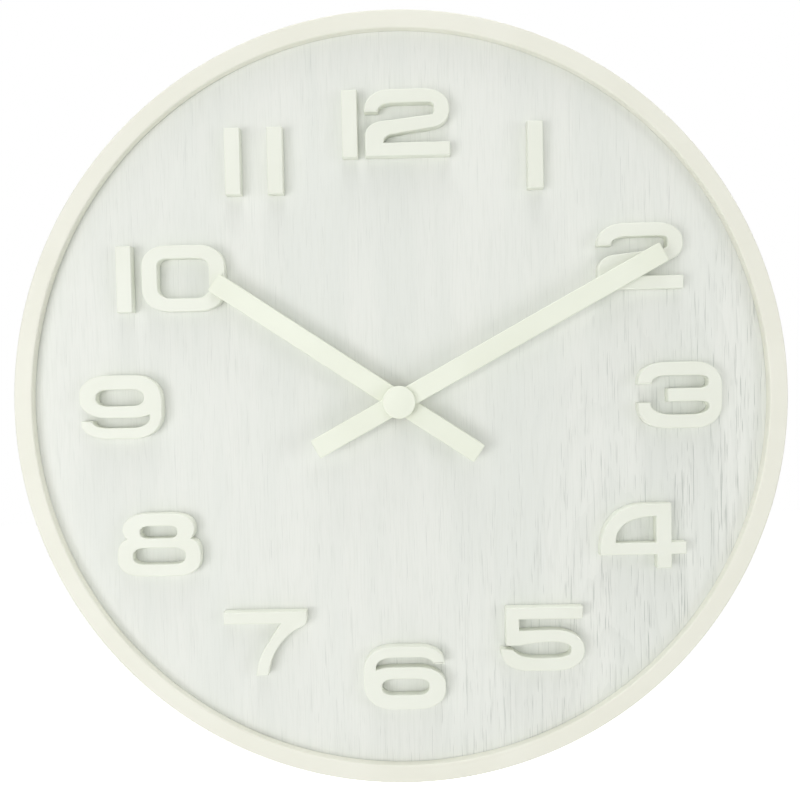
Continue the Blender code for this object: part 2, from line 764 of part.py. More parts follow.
def add_piece(name, mesh, look, axis=HAND_AXIS, turn=0):
    """Put one piece on its axis, with its own material."""
    piece = bpy.data.objects.new(name, mesh)
    clock.objects.link(piece)
    piece.parent = stand
    piece.location = (axis[0], axis[1], 0)
    piece.rotation_euler = (0, 0, turn)
    mesh.materials.clear()
    mesh.materials.append(make_material(name, look))
    return piece


def add_tool(piece, operation, mesh, axis=HAND_AXIS):
    """Join a shape to a piece, or cut it out of the piece."""
    tool = bpy.data.objects.new(mesh.name, mesh)
    cutters.objects.link(tool)
    tool.parent = stand
    tool.location = (axis[0], axis[1], 0)
    tool.hide_render = True
    tool.display_type = "WIRE"
    modifier = piece.modifiers.new(mesh.name, "BOOLEAN")
    modifier.operation = operation
    modifier.solver = "EXACT"
    modifier.object = tool


# Round frame, dial board and veneer


def build_rim():
    """The frame: a turned ring with a rebate behind its front lip for the dial."""
    edge_z = RIM_DEPTH - RIM_EDGE_RADIUS
    quarter = math.pi / 2
    outer = arc(RIM_EDGE_RADIUS, quarter, 0, RIM_EDGE_STEPS, (RIM_RADIUS - RIM_EDGE_RADIUS, edge_z))
    inner_x = RIM_FACE_INNER_RADIUS + RIM_EDGE_RADIUS
    inner = arc(RIM_EDGE_RADIUS, math.pi, quarter, RIM_EDGE_STEPS, (inner_x, edge_z))
    back = [
        (RIM_RADIUS, RIM_BACK_CHAMFER),
        (RIM_RADIUS - RIM_BACK_CHAMFER, 0),
        (RIM_REBATE_RADIUS, 0),
        (RIM_REBATE_RADIUS, DIAL_FRONT + FIT_GAP),
        (RIM_FACE_INNER_RADIUS, DIAL_FRONT + FIT_GAP),
    ]
    add_piece("rim", turned_mesh("rim", outer + back + inner, RIM_STEPS, True), WHITE_LACQUER)


def build_dial():
    """The fibreboard disc and the veneer on it, both drilled for the threaded bush."""
    loops = [circle(BOARD_RADIUS, RIM_STEPS), circle(DIAL_HOLE_RADIUS, TUBE_STEPS)]
    board = flat_mesh("dial_board", loops, BOARD_REAR, BOARD_FRONT)
    veneer = flat_mesh("dial_veneer", loops, BOARD_FRONT + FIT_GAP, DIAL_FRONT)
    add_piece("dial_board", board, FIBREBOARD)
    add_piece("dial_veneer", veneer, WASHED_VENEER)


# Raised digits


def build_numerals():
    """One piece for each digit, upright, with each number centred near its place in the ring."""
    spaces = {10: TEN_SPACE, 11: ELEVEN_SPACE, 12: TWELVE_SPACE}
    drops = {3: -THREE_RISE, 10: TEN_DROP, 12: TWELVE_DROP}
    shifts = {8: -EIGHT_SHIFT, 12: TWELVE_SHIFT}
    for number in range(1, 13):
        ring = TEN_RING_RADIUS if number == 10 else NUMERAL_RING_RADIUS
        centre = polar(ring, math.pi / 2 - number * math.pi / 6)
        digits = str(number)
        width = sum(2 * digit_half_width(digit) for digit in digits)
        left = centre[0] + shifts.get(number, 0) - (width + spaces.get(number, 0)) / 2
        height = centre[1] - drops.get(number, 0)
        for digit, place in zip(digits, ("_tens", "_units")):
            half = digit_half_width(digit)
            name = f"numeral_{number}" + (place if len(digits) > 1 else "")
            mesh = flat_mesh(name, digit_outlines(digit), DIGIT_REAR, DIGIT_FRONT, DIGIT_EDGE)
            add_piece(name, mesh, CREAM_LACQUER, (left + half, height))
            left += 2 * half + spaces.get(number, 0)


# Hands


def hand_mesh(name, reach, hole, rear):
    """A plain bar with soft corners and a hole for its bush, drawn pointing at the twelve."""
    half = HAND_WIDTH / 2
    bar = rounded_rectangle(-half, half, -HAND_TAIL, reach, HAND_CORNER, RIM_EDGE_STEPS)
    return flat_mesh(name, [bar, circle(hole, TUBE_STEPS)], rear, rear + HAND_THICKNESS, HAND_EDGE)


def bush_profile(bore, front, collar_front, collar_rear):
    """A brass bush: a neck in the hand's hole and a wider collar behind the hand."""
    neck = bore + BUSH_NECK_WALL
    collar = bore + BUSH_COLLAR_WALL
    return [
        (neck, front),
        (neck, collar_front),
        (collar, collar_front),
        (collar, collar_rear),
        (bore, collar_rear),
        (bore, front),
    ]


def build_hands():
    """Both hands with their bushes, and the round boss in front."""
    hour_bore = HOUR_TUBE_RADIUS + FIT_GAP
    hour_hole = hour_bore + BUSH_NECK_WALL + FIT_GAP
    hour_turn = -HOUR_HAND_ANGLE
    hour = hand_mesh("hour_hand", HOUR_HAND_REACH, hour_hole, HOUR_HAND_REAR)
    add_piece("hour_hand", hour, CREAM_HAND, turn=hour_turn)
    collar_front = HOUR_HAND_REAR - FIT_GAP
    profile = bush_profile(
        hour_bore, HOUR_HAND_FRONT, collar_front, collar_front - HOUR_COLLAR_LENGTH
    )
    bush = turned_mesh("hour_hand_bush", profile, TUBE_STEPS, True)
    add_piece("hour_hand_bush", bush, BRASS, turn=hour_turn)

    minute_bore = MINUTE_TUBE_RADIUS + FIT_GAP
    minute_hole = minute_bore + BUSH_NECK_WALL + FIT_GAP
    minute_turn = -MINUTE_HAND_ANGLE
    minute = hand_mesh("minute_hand", MINUTE_HAND_REACH, minute_hole, MINUTE_HAND_REAR)
    add_piece("minute_hand", minute, CREAM_HAND, turn=minute_turn)
    collar_front = MINUTE_HAND_REAR - FIT_GAP
    profile = bush_profile(
        minute_bore, MINUTE_HAND_FRONT, collar_front, collar_front - MINUTE_COLLAR_LENGTH
    )
    bush = turned_mesh("minute_hand_bush", profile, TUBE_STEPS, True)
    add_piece("minute_hand_bush", bush, BRASS, turn=minute_turn)

    front = BOSS_REAR + BOSS_THICKNESS
    shoulder = front - BOSS_DOME
    side_top = shoulder - BOSS_EDGE
    dome_radius = BOSS_RADIUS - BOSS_EDGE
    profile = [(0, front), (dome_radius / 2, front - BOSS_DOME / 4), (dome_radius, shoulder)]
    profile += arc(BOSS_EDGE, math.pi / 2, 0, RIM_EDGE_STEPS, (dome_radius, side_top))[1:]
    profile += [(BOSS_RADIUS, BOSS_REAR), (0, BOSS_REAR)]
    boss = turned_mesh("minute_boss", profile, DISC_STEPS)
    add_piece("minute_boss", boss, CREAM_HAND, turn=minute_turn)


# Hanging parts


def build_hanging():
    """The keyhole plate, its screws, the block they hold in, and the glue blocks."""
    half = PLATE_WIDTH / 2
    top = HANG_RADIUS + PLATE_OVER_HANG_POINT
    slot_top = HANG_RADIUS - SLOT_BELOW_HANG_POINT
    slot_half = SLOT_WIDTH / 2
    slot_y = slot_top - slot_half
    keyhole_y = slot_y - KEYHOLE_DROP
    screw_y = keyhole_y + SCREW_ABOVE_KEYHOLE
    opening = math.asin(slot_half / KEYHOLE_RADIUS)
    quarter = math.pi / 2
    keyhole = arc(slot_half, 0, math.pi, TUBE_STEPS // 2, (0, slot_y))
    keyhole += arc(
        KEYHOLE_RADIUS, quarter + opening, 5 * quarter - opening, TUBE_STEPS, (0, keyhole_y)
    )
    outline = rounded_rectangle(-half, half, top - PLATE_HEIGHT, top, PLATE_CORNER, RIM_EDGE_STEPS)
    plate = flat_mesh("hanger_plate", [outline, keyhole], 0, PLATE_THICKNESS)
    plate = add_piece("hanger_plate", plate, ZINC_STEEL)

    block_rear = PLATE_THICKNESS + FIT_GAP
    block_front = BOARD_REAR - FIT_GAP
    block_radius = RIM_REBATE_RADIUS - FIT_GAP
    block_bottom = block_radius - BLOCK_HEIGHT
    spread = math.asin(BLOCK_HALF_WIDTH / block_radius)
    outline = arc(block_radius, quarter - spread, quarter + spread, BLOCK_ARC_STEPS)
    outline += [(-BLOCK_HALF_WIDTH, block_bottom), (BLOCK_HALF_WIDTH, block_bottom)]
    block = flat_mesh("hanging_block", [outline], block_rear, block_front)
    block = add_piece("hanging_block", block, PALE_WOOD)
    pocket_radius = KEYHOLE_RADIUS + POCKET_MARGIN
    outline = arc(pocket_radius, 0, math.pi, TUBE_STEPS // 2, (0, slot_y))
    outline += arc(pocket_radius, math.pi, 2 * math.pi, TUBE_STEPS // 2, (0, keyhole_y))
    pocket_front = block_rear + POCKET_DEPTH
    pocket = flat_mesh("hanger_pocket", [outline], block_rear - CUT_OVERRUN, pocket_front)
    add_tool(block, "DIFFERENCE", pocket)

    cone_rate = (SCREW_HEAD_RADIUS - SCREW_SHANK_RADIUS) / SCREW_HEAD_HEIGHT
    screw = turned_mesh(
        "hanger_screw",
        [
            (0, SCREW_LENGTH),
            (SCREW_SHANK_RADIUS, SCREW_LENGTH - SCREW_POINT),
            (SCREW_SHANK_RADIUS, SCREW_HEAD_HEIGHT),
            (SCREW_HEAD_RADIUS, 0),
            (0, 0),
        ],
        SCREW_STEPS,
    )
    long_half = SCREW_RECESS_LENGTH / 2
    short_half = SCREW_RECESS_WIDTH / 2
    cross = []
    for turn in range(4):
        for x, y in ((long_half, -short_half), (long_half, short_half), (short_half, short_half)):
            direction = math.atan2(y, x) + turn * quarter + SCREW_RECESS_TURN
            cross.append(polar(math.hypot(x, y), direction))
    recess = flat_mesh("screw_recess", [cross], -CUT_OVERRUN, SCREW_RECESS_DEPTH)
    head_hole = SCREW_HEAD_RADIUS + FIT_GAP
    sink_front = PLATE_THICKNESS + CUT_OVERRUN
    countersink = turned_mesh(
        "countersink",
        [
            (0, sink_front),
            (head_hole - cone_rate * sink_front, sink_front),
            (head_hole + cone_rate * CUT_OVERRUN, -CUT_OVERRUN),
            (0, -CUT_OVERRUN),
        ],
        SCREW_STEPS,
    )
    pilot = head_hole - cone_rate * block_rear
    pilot_end = SCREW_LENGTH + FIT_GAP
    pilot_hole = turned_mesh(
        "pilot_hole", shaft_profile(pilot, block_rear - CUT_OVERRUN, pilot_end), SCREW_STEPS
    )
    for side, name in ((-1, "hanger_screw_left"), (1, "hanger_screw_right")):
        axis = (side * SCREW_SPACING / 2, screw_y)
        piece = add_piece(name, screw.copy(), ZINC_STEEL, axis)
        add_tool(piece, "DIFFERENCE", recess, axis)
        add_tool(plate, "DIFFERENCE", countersink, axis)
        add_tool(block, "DIFFERENCE", pilot_hole, axis)

    spread = math.asin(GLUE_BLOCK_HALF_WIDTH / block_radius)
    inner = block_radius - GLUE_BLOCK_REACH
    outline = arc(block_radius, -spread, spread, BLOCK_ARC_STEPS)
    outline += [(inner, GLUE_BLOCK_HALF_WIDTH), (inner, -GLUE_BLOCK_HALF_WIDTH)]
    places = (("glue_block_right", 0), ("glue_block_left", 2), ("glue_block_bottom", 3))
    for name, quarters in places:
        mesh = flat_mesh(name, [outline], block_front - GLUE_BLOCK_DEPTH, block_front)
        add_piece(name, mesh, PALE_WOOD, turn=quarters * quarter)


# Movement case


def pinned_post(name, radius, pin_radius, shoulder, tip):
    """A post that stands on the front plate, with a thinner pin behind its shoulder."""
    profile = [(0, POST_ROOT), (radius, POST_ROOT), (radius, shoulder), (pin_radius, shoulder)]
    profile += [(pin_radius, tip), (0, tip)]
    return turned_mesh(name, profile, HOLE_STEPS)


def case_outline(inset=0):
    """The rounded square of the movement case, or of its walls' inner side."""
    half = CASE_HALF - inset
    return rounded_rectangle(-half, half, -half, half, CASE_CORNER - inset, CASE_CORNER_STEPS)


def build_front_case():
    """The front plate with its threaded bush, pivot holes and posts."""
    loops = [
        case_outline(),
        circle((THREAD_BUSH_RADIUS + THREAD_BUSH_BORE) / 2, TUBE_STEPS),
        circle(SETTING_PIVOT_RADIUS + RUN_GAP, HOLE_STEPS, SETTING_AXIS),
    ]
    for axis in (THIRD_AXIS, INTERMEDIATE_AXIS, ROTOR_AXIS):
        loops.append(circle(PIVOT_HOLE_RADIUS, HOLE_STEPS, axis))
    plate = flat_mesh("movement_front_case", loops, FRONT_PLATE_REAR, CASE_FRONT)
    plate = add_piece("movement_front_case", plate, BLACK_PLASTIC)
    bush = turned_mesh(
        "threaded_bush",
        ring_profile(THREAD_BUSH_BORE, THREAD_BUSH_RADIUS, POST_ROOT, THREAD_BUSH_FRONT),
        TUBE_STEPS,
        True,
    )
    add_tool(plate, "UNION", bush)
    motion_tip = level_rear(2) - JOIN_OVERLAP / 2
    motion_post = turned_mesh(
        "motion_post", shaft_profile(MOTION_POST_RADIUS, motion_tip, POST_ROOT), HOLE_STEPS
    )
    add_tool(plate, "UNION", motion_post, MOTION_AXIS)
    post_sets = (
        ("train_post", TRAIN_POSTS, POST_RADIUS, POST_PIN_RADIUS, TRAIN_PLATE_FRONT, ARBOR_REAR),
        (
            "stator_post",
            STATOR_PINS,
            STATOR_POST_RADIUS,
            STATOR_PIN_RADIUS,
            STATOR_FRONT,
            STATOR_REAR - FIT_GAP,
        ),
        (
            "circuit_post",
            CIRCUIT_POSTS,
            CIRCUIT_POST_RADIUS,
            CIRCUIT_PIN_RADIUS,
            CIRCUIT_FRONT,
            CIRCUIT_REAR - FIT_GAP,
        ),
    )
    for name, places, radius, pin_radius, seat, tip in post_sets:
        post = pinned_post(name, radius, pin_radius, seat + FIT_GAP, tip)
        for place in places:
            add_tool(plate, "UNION", post, place)


def build_rear_case():
    """The rear shell: walls, a rear wall that leaves the battery bay open, and a stop peg."""
    walls = [case_outline(), case_outline(CASE_WALL)]
    shell = flat_mesh("movement_rear_case", walls, CASE_REAR, REAR_CASE_FRONT)
    shell = add_piece("movement_rear_case", shell, BLACK_PLASTIC)
    side = CASE_INNER_HALF + JOIN_OVERLAP
    wall_rear = CASE_REAR + REAR_WALL_SETBACK
    wall_front = CASE_REAR + CASE_WALL
    middle = (PARTITION_BOTTOM + PARTITION_TOP) / 2
    knob_hole = circle(SETTING_ARBOR_RADIUS + RUN_GAP, HOLE_STEPS, SETTING_AXIS)
    rear_wall = flat_mesh(
        "rear_wall", [rectangle(-side, side, middle, side), knob_hole], wall_rear, wall_front
    )
    add_tool(shell, "UNION", rear_wall)
    partition_half = CASE_INNER_HALF - CONTACT_SLOT
    partition = rectangle(-partition_half, partition_half, PARTITION_BOTTOM, PARTITION_TOP)
    partition_rear = (wall_rear + wall_front) / 2
    partition_front = REAR_CASE_FRONT - JOIN_OVERLAP
    add_tool(shell, "UNION", flat_mesh("partition", [partition], partition_rear, partition_front))
    peg = shaft_profile(STOP_PEG_RADIUS, partition_rear, level_rear(2) - JOIN_OVERLAP - FIT_GAP)
    add_tool(shell, "UNION", turned_mesh("stop_peg", peg, HOLE_STEPS), MOTION_AXIS)


def build_fixings():
    """The rubber gasket behind the dial, and the washer and nut in front of it."""
    gasket = ring_profile(
        DIAL_HOLE_RADIUS, GASKET_RADIUS, CASE_FRONT + FIT_GAP, BOARD_REAR - FIT_GAP
    )
    add_piece("gasket", turned_mesh("gasket", gasket, DISC_STEPS, True), SOFT_RUBBER)
    washer = ring_profile(
        DIAL_HOLE_RADIUS, WASHER_RADIUS, WASHER_REAR, WASHER_REAR + WASHER_THICKNESS
    )
    add_piece("washer", turned_mesh("washer", washer, DISC_STEPS, True), BRASS)
    loops = [circle(NUT_RADIUS, NUT_SIDES), circle(DIAL_HOLE_RADIUS, TUBE_STEPS)]
    nut = flat_mesh("bush_nut", loops, NUT_REAR, NUT_REAR + NUT_THICKNESS)
    add_piece("bush_nut", nut, BRASS)


# Wheel train


def wheel_mesh(name, teeth, mate_teeth, distance, phase, hole, rear, front):
    """A flat toothed wheel with a round hole."""
    outline = gear_outline(teeth, gear_module(distance, teeth, mate_teeth), phase)
    return flat_mesh(name, [outline, circle(hole, HOLE_STEPS)], rear, front)


def pinion_mesh(name, teeth, mate_teeth, distance, phase, rear, front):
    """A solid toothed pinion."""
    outline = gear_outline(teeth, gear_module(distance, teeth, mate_teeth), phase)
    return flat_mesh(name, [outline], rear, front)


def build_motion_work():
    """Minute pinion, motion wheel, hour wheel and setting knob: the gears behind the dial."""
    rear_1 = level_rear(1)
    front_1 = rear_1 + WHEEL_THICKNESS
    rear_2 = level_rear(2)
    front_2 = rear_2 + WHEEL_THICKNESS + CANNON_EXTRA

    cannon = turned_mesh(
        "minute_pinion",
        ring_profile(
            MINUTE_TUBE_BORE, MINUTE_TUBE_RADIUS, level_rear(3) - FIT_GAP, MINUTE_HAND_FRONT
        ),
        TUBE_STEPS,
        True,
    )
    cannon = add_piece("minute_pinion", cannon, BRASS)
    middle = (MINUTE_TUBE_BORE + MINUTE_TUBE_RADIUS) / 2
    teeth = wheel_mesh(
        "cannon_teeth", CANNON_TEETH, MOTION_TEETH, MOTION_DISTANCE, 0, middle, rear_2, front_2
    )
    add_tool(cannon, "UNION", teeth)

    motion_phase = mate_phase(0, CANNON_TEETH, MOTION_DIRECTION, MOTION_TEETH)
    pinion_bore = MOTION_POST_RADIUS + RUN_GAP
    pinion_middle = (pinion_bore + SETTING_PIVOT_RADIUS + SETTING_ARBOR_RADIUS) / 2
    wheel = wheel_mesh(
        "motion_wheel",
        MOTION_TEETH,
        CANNON_TEETH,
        MOTION_DISTANCE,
        motion_phase,
        pinion_middle,
        rear_2,
        front_2,
    )
    wheel = add_piece("motion_wheel", wheel, WHITE_ACETAL, MOTION_AXIS)
    pinion = wheel_mesh(
        "motion_pinion",
        MOTION_PINION_TEETH,
        HOUR_TEETH,
        MOTION_DISTANCE,
        0,
        pinion_bore,
        rear_2 - REAR_WALL_SETBACK,
        front_1,
    )
    add_tool(wheel, "UNION", pinion, MOTION_AXIS)

    hour_phase = mate_phase(0, MOTION_PINION_TEETH, MOTION_DIRECTION + math.pi, HOUR_TEETH)
    tube = turned_mesh(
        "hour_wheel",
        ring_profile(
            HOUR_TUBE_BORE, HOUR_TUBE_RADIUS, rear_1 - REAR_WALL_SETBACK, HOUR_HAND_FRONT
        ),
        TUBE_STEPS,
        True,
    )
    tube = add_piece("hour_wheel", tube, WHITE_ACETAL)
    middle = (HOUR_TUBE_BORE + HOUR_TUBE_RADIUS) / 2
    teeth = wheel_mesh(
        "hour_teeth",
        HOUR_TEETH,
        MOTION_PINION_TEETH,
        MOTION_DISTANCE,
        hour_phase,
        middle,
        rear_1,
        front_1,
    )
    add_tool(tube, "UNION", teeth)

    setting_phase = mate_phase(motion_phase, MOTION_TEETH, SETTING_DIRECTION, SETTING_TEETH)
    knob_front = CASE_REAR - FIT_GAP
    knob_rear = knob_front - KNOB_THICKNESS
    arbor = turned_mesh(
        "setting_knob",
        [
            (0, PIVOT_FRONT),
            (SETTING_PIVOT_RADIUS, PIVOT_FRONT),
            (SETTING_PIVOT_RADIUS, REAR_CASE_FRONT),
            (SETTING_ARBOR_RADIUS, REAR_CASE_FRONT),
            (SETTING_ARBOR_RADIUS, knob_front - JOIN_OVERLAP),
            (0, knob_front - JOIN_OVERLAP),
        ],
        HOLE_STEPS,
    )
    arbor = add_piece("setting_knob", arbor, WHITE_ACETAL, SETTING_AXIS)
    pinion = pinion_mesh(
        "setting_teeth",
        SETTING_TEETH,
        MOTION_TEETH,
        MOTION_DISTANCE,
        setting_phase,
        rear_2,
        front_2,
    )
    add_tool(arbor, "UNION", pinion, SETTING_AXIS)
    steps = KNOB_FLUTES * KNOB_STEPS_PER_FLUTE
    flutes = []
    for i in range(steps):
        angle = 2 * math.pi * i / steps
        wave = (1 - math.cos(KNOB_FLUTES * angle)) / 2
        flutes.append(polar(KNOB_RADIUS * (1 - KNOB_FLUTE_SHARE * wave), angle))
    add_tool(arbor, "UNION", flat_mesh("knob_grip", [flutes], knob_rear, knob_front), SETTING_AXIS)


def build_arbor(name, axis, look, radius, front, wheel, pinion):
    """An arbor between the train plate and the front, with its wheel and its pinion joined on."""
    arbor = turned_mesh(name, shaft_profile(radius, ARBOR_REAR, front), HOLE_STEPS)
    arbor = add_piece(name, arbor, look, axis)
    for tool in (wheel, pinion):
        add_tool(arbor, "UNION", tool, axis)


def build_time_train():
    """The train from the stepping motor's rotor to the centre wheel, one level each."""
    rears = {level: level_rear(level) for level in range(3, 7)}
    fronts = {level: rear + WHEEL_THICKNESS for level, rear in rears.items()}

    centre = wheel_mesh(
        "centre_wheel",
        CENTRE_TEETH,
        THIRD_PINION_TEETH,
        TRAIN_DISTANCE,
        0,
        MINUTE_TUBE_RADIUS + FIT_GAP,
        rears[3],
        fronts[3],
    )
    add_piece("centre_wheel", centre, BRASS)

    third_phase = mate_phase(0, CENTRE_TEETH, THIRD_DIRECTION, THIRD_PINION_TEETH)
    build_arbor(
        "third_wheel",
        THIRD_AXIS,
        WHITE_ACETAL,
        ARBOR_RADIUS,
        PIVOT_FRONT,
        pinion_mesh(
            "third_teeth",
            THIRD_TEETH,
            SECONDS_PINION_TEETH,
            TRAIN_DISTANCE,
            0,
            rears[4],
            fronts[4],
        ),
        pinion_mesh(
            "third_pinion",
            THIRD_PINION_TEETH,
            CENTRE_TEETH,
            TRAIN_DISTANCE,
            third_phase,
            rears[3] - PINION_OVERHANG,
            fronts[3] + PINION_OVERHANG,
        ),
    )

    seconds_phase = mate_phase(0, THIRD_TEETH, THIRD_DIRECTION + math.pi, SECONDS_PINION_TEETH)
    build_arbor(
        "seconds_wheel",
        HAND_AXIS,
        GREEN_ACETAL,
        SECONDS_ARBOR_RADIUS,
        MINUTE_HAND_FRONT - FIT_GAP,
        pinion_mesh(
            "seconds_teeth",
            SECONDS_TEETH,
            INTERMEDIATE_PINION_TEETH,
            TRAIN_DISTANCE,
            0,
            rears[5],
            fronts[5],
        ),
        pinion_mesh(
            "seconds_pinion",
            SECONDS_PINION_TEETH,
            THIRD_TEETH,
            TRAIN_DISTANCE,
            seconds_phase,
            rears[4] - PINION_OVERHANG,
            fronts[4],
        ),
    )

    intermediate_phase = mate_phase(
        0, SECONDS_TEETH, INTERMEDIATE_DIRECTION, INTERMEDIATE_PINION_TEETH
    )
    build_arbor(
        "intermediate_wheel",
        INTERMEDIATE_AXIS,
        WHITE_ACETAL,
        ARBOR_RADIUS,
        PIVOT_FRONT,
        pinion_mesh(
            "intermediate_teeth",
            INTERMEDIATE_TEETH,
            ROTOR_PINION_TEETH,
            MAGNET_AXIS_DISTANCE,
            0,
            rears[6],
            fronts[6],
        ),
        pinion_mesh(
            "intermediate_pinion",
            INTERMEDIATE_PINION_TEETH,
            SECONDS_TEETH,
            TRAIN_DISTANCE,
            intermediate_phase,
            rears[5] - PINION_OVERHANG,
            fronts[5] + PINION_OVERHANG,
        ),
    )

    rotor_phase = mate_phase(0, INTERMEDIATE_TEETH, ROTOR_DIRECTION, ROTOR_PINION_TEETH)
    magnet = shaft_profile(
        MAGNET_RADIUS, STATOR_REAR - MAGNET_OVERHANG, STATOR_FRONT + MAGNET_OVERHANG
    )
    build_arbor(
        "rotor",
        ROTOR_AXIS,
        MAGNET_GREY,
        ARBOR_RADIUS,
        PIVOT_FRONT,
        turned_mesh("magnet", magnet, TUBE_STEPS),
        pinion_mesh(
            "rotor_pinion",
            ROTOR_PINION_TEETH,
            INTERMEDIATE_TEETH,
            MAGNET_AXIS_DISTANCE,
            rotor_phase,
            rears[6] - PINION_OVERHANG,
            fronts[6] + PINION_OVERHANG,
        ),
    )


def build_train_plate():
    """The flat plate that carries the rear pivots."""
    right = ROTOR_AXIS[0] + TRAIN_PLATE_MARGIN
    loops = [rectangle(-TRAIN_PLATE_LEFT, right, TRAIN_PLATE_BOTTOM, TRAIN_PLATE_TOP)]
    for axis in (HAND_AXIS, THIRD_AXIS, INTERMEDIATE_AXIS, ROTOR_AXIS):
        loops.append(circle(PIVOT_HOLE_RADIUS, HOLE_STEPS, axis))
    loops.append(circle(STOP_PEG_RADIUS + FIT_GAP, HOLE_STEPS, MOTION_AXIS))
    for place in TRAIN_POSTS:
        loops.append(circle(POST_PIN_RADIUS + RUN_GAP, HOLE_STEPS, place))
    plate = flat_mesh("train_plate", loops, TRAIN_PLATE_REAR, TRAIN_PLATE_FRONT)
    add_piece("train_plate", plate, BLACK_PLASTIC)


# Stepping motor and circuit


def build_motor():
    """The stator plate round the rotor, and the coil on its core."""
    ear_low = PAD_TOP - STATOR_EAR_WIDTH
    ear_angle = math.asin((ear_low - ROTOR_AXIS[1]) / STATOR_PAD_RADIUS)
    outline = [
        (STATOR_LEFT, EAR_TOP),
        (EAR_RIGHT, EAR_TOP),
        (EAR_RIGHT, EAR_BOTTOM),
        (ARM_RIGHT, EAR_BOTTOM),
        (ARM_RIGHT, PAD_TOP),
        (EAR_RIGHT, PAD_TOP),
        (EAR_RIGHT, ear_low),
    ]
    outline += arc(STATOR_PAD_RADIUS, ear_angle, -math.pi, TUBE_STEPS, ROTOR_AXIS)
    loops = [outline, circle(STATOR_HOLE_RADIUS, TUBE_STEPS, ROTOR_AXIS)]
    for place in STATOR_PINS:
        loops.append(circle(STATOR_PIN_RADIUS + FIT_GAP, HOLE_STEPS, place))
    stator = flat_mesh("stator", loops, STATOR_REAR, STATOR_FRONT)
    add_piece("stator", stator, SILICON_STEEL)

    core_half = CORE_WIDTH / 2
    core = rectangle(-core_half, core_half, ear_low, EAR_TOP)
    core = flat_mesh("coil_core", [core], CORE_REAR, CORE_FRONT)
    add_piece("coil_core", core, SILICON_STEEL, (COIL_X, 0))

    inner_top = COIL_TOP - COIL_FLANGE_THICKNESS
    inner_bottom = COIL_BOTTOM + COIL_FLANGE_THICKNESS
    bobbin = turned_mesh(
        "coil_bobbin",
        [
            (COIL_FLANGE_RADIUS, COIL_TOP),
            (COIL_FLANGE_RADIUS, inner_top),
            (COIL_BARREL_RADIUS, inner_top),
            (COIL_BARREL_RADIUS, inner_bottom),
            (COIL_FLANGE_RADIUS, inner_bottom),
            (COIL_FLANGE_RADIUS, COIL_BOTTOM),
            (COIL_BORE_RADIUS, COIL_BOTTOM),
            (COIL_BORE_RADIUS, COIL_TOP),
        ],
        TUBE_STEPS,
        True,
    )
    winding = turned_mesh(
        "coil_winding",
        ring_profile(
            COIL_BARREL_RADIUS + FIT_GAP,
            COIL_WINDING_RADIUS,
            inner_bottom + FIT_GAP,
            inner_top - FIT_GAP,
        ),
        TUBE_STEPS,
        True,
    )
    for name, mesh, look in (
        ("coil_bobbin", bobbin, WHITE_ACETAL),
        ("coil_winding", winding, COPPER_WIRE),
    ):
        piece = add_piece(name, mesh, look)
        piece.location = (COIL_X, 0, COIL_Z)
        piece.rotation_euler = (-math.pi / 2, 0, 0)


def build_circuit():
    """The circuit board across the top of the case, with its chip and its quartz crystal."""
    side = CASE_INNER_HALF - CIRCUIT_SIDE_MARGIN
    loops = [rectangle(-side, side, CIRCUIT_BOTTOM, CIRCUIT_TOP)]
    for place in CIRCUIT_POSTS:
        loops.append(circle(CIRCUIT_PIN_RADIUS + FIT_GAP, HOLE_STEPS, place))
    board = flat_mesh("circuit_board", loops, CIRCUIT_REAR, CIRCUIT_FRONT)
    add_piece("circuit_board", board, CIRCUIT_GREEN)

    chip_front = CIRCUIT_REAR - FIT_GAP
    chip_rear = chip_front - CHIP_HEIGHT
    shoulder = chip_rear + CHIP_HEIGHT / 3
    chip_profile = [(0, chip_front), (CHIP_RADIUS, chip_front), (CHIP_RADIUS * 3 / 4, shoulder)]
    chip_profile.append((0, chip_rear))
    chip = turned_mesh("driver_chip", chip_profile, TUBE_STEPS)
    add_piece("driver_chip", chip, BLACK_EPOXY, (0, CIRCUIT_BOTTOM + CHIP_RISE))

    half = CRYSTAL_LENGTH / 2
    crystal = turned_mesh("quartz_crystal", shaft_profile(CRYSTAL_RADIUS, -half, half), HOLE_STEPS)
    crystal = add_piece("quartz_crystal", crystal, ZINC_STEEL)
    crystal.location = (-CRYSTAL_OFFSET, CIRCUIT_BOTTOM + CHIP_RISE, chip_front - CRYSTAL_RADIUS)
    crystal.rotation_euler = (0, math.pi / 2, 0)


# Battery and contacts


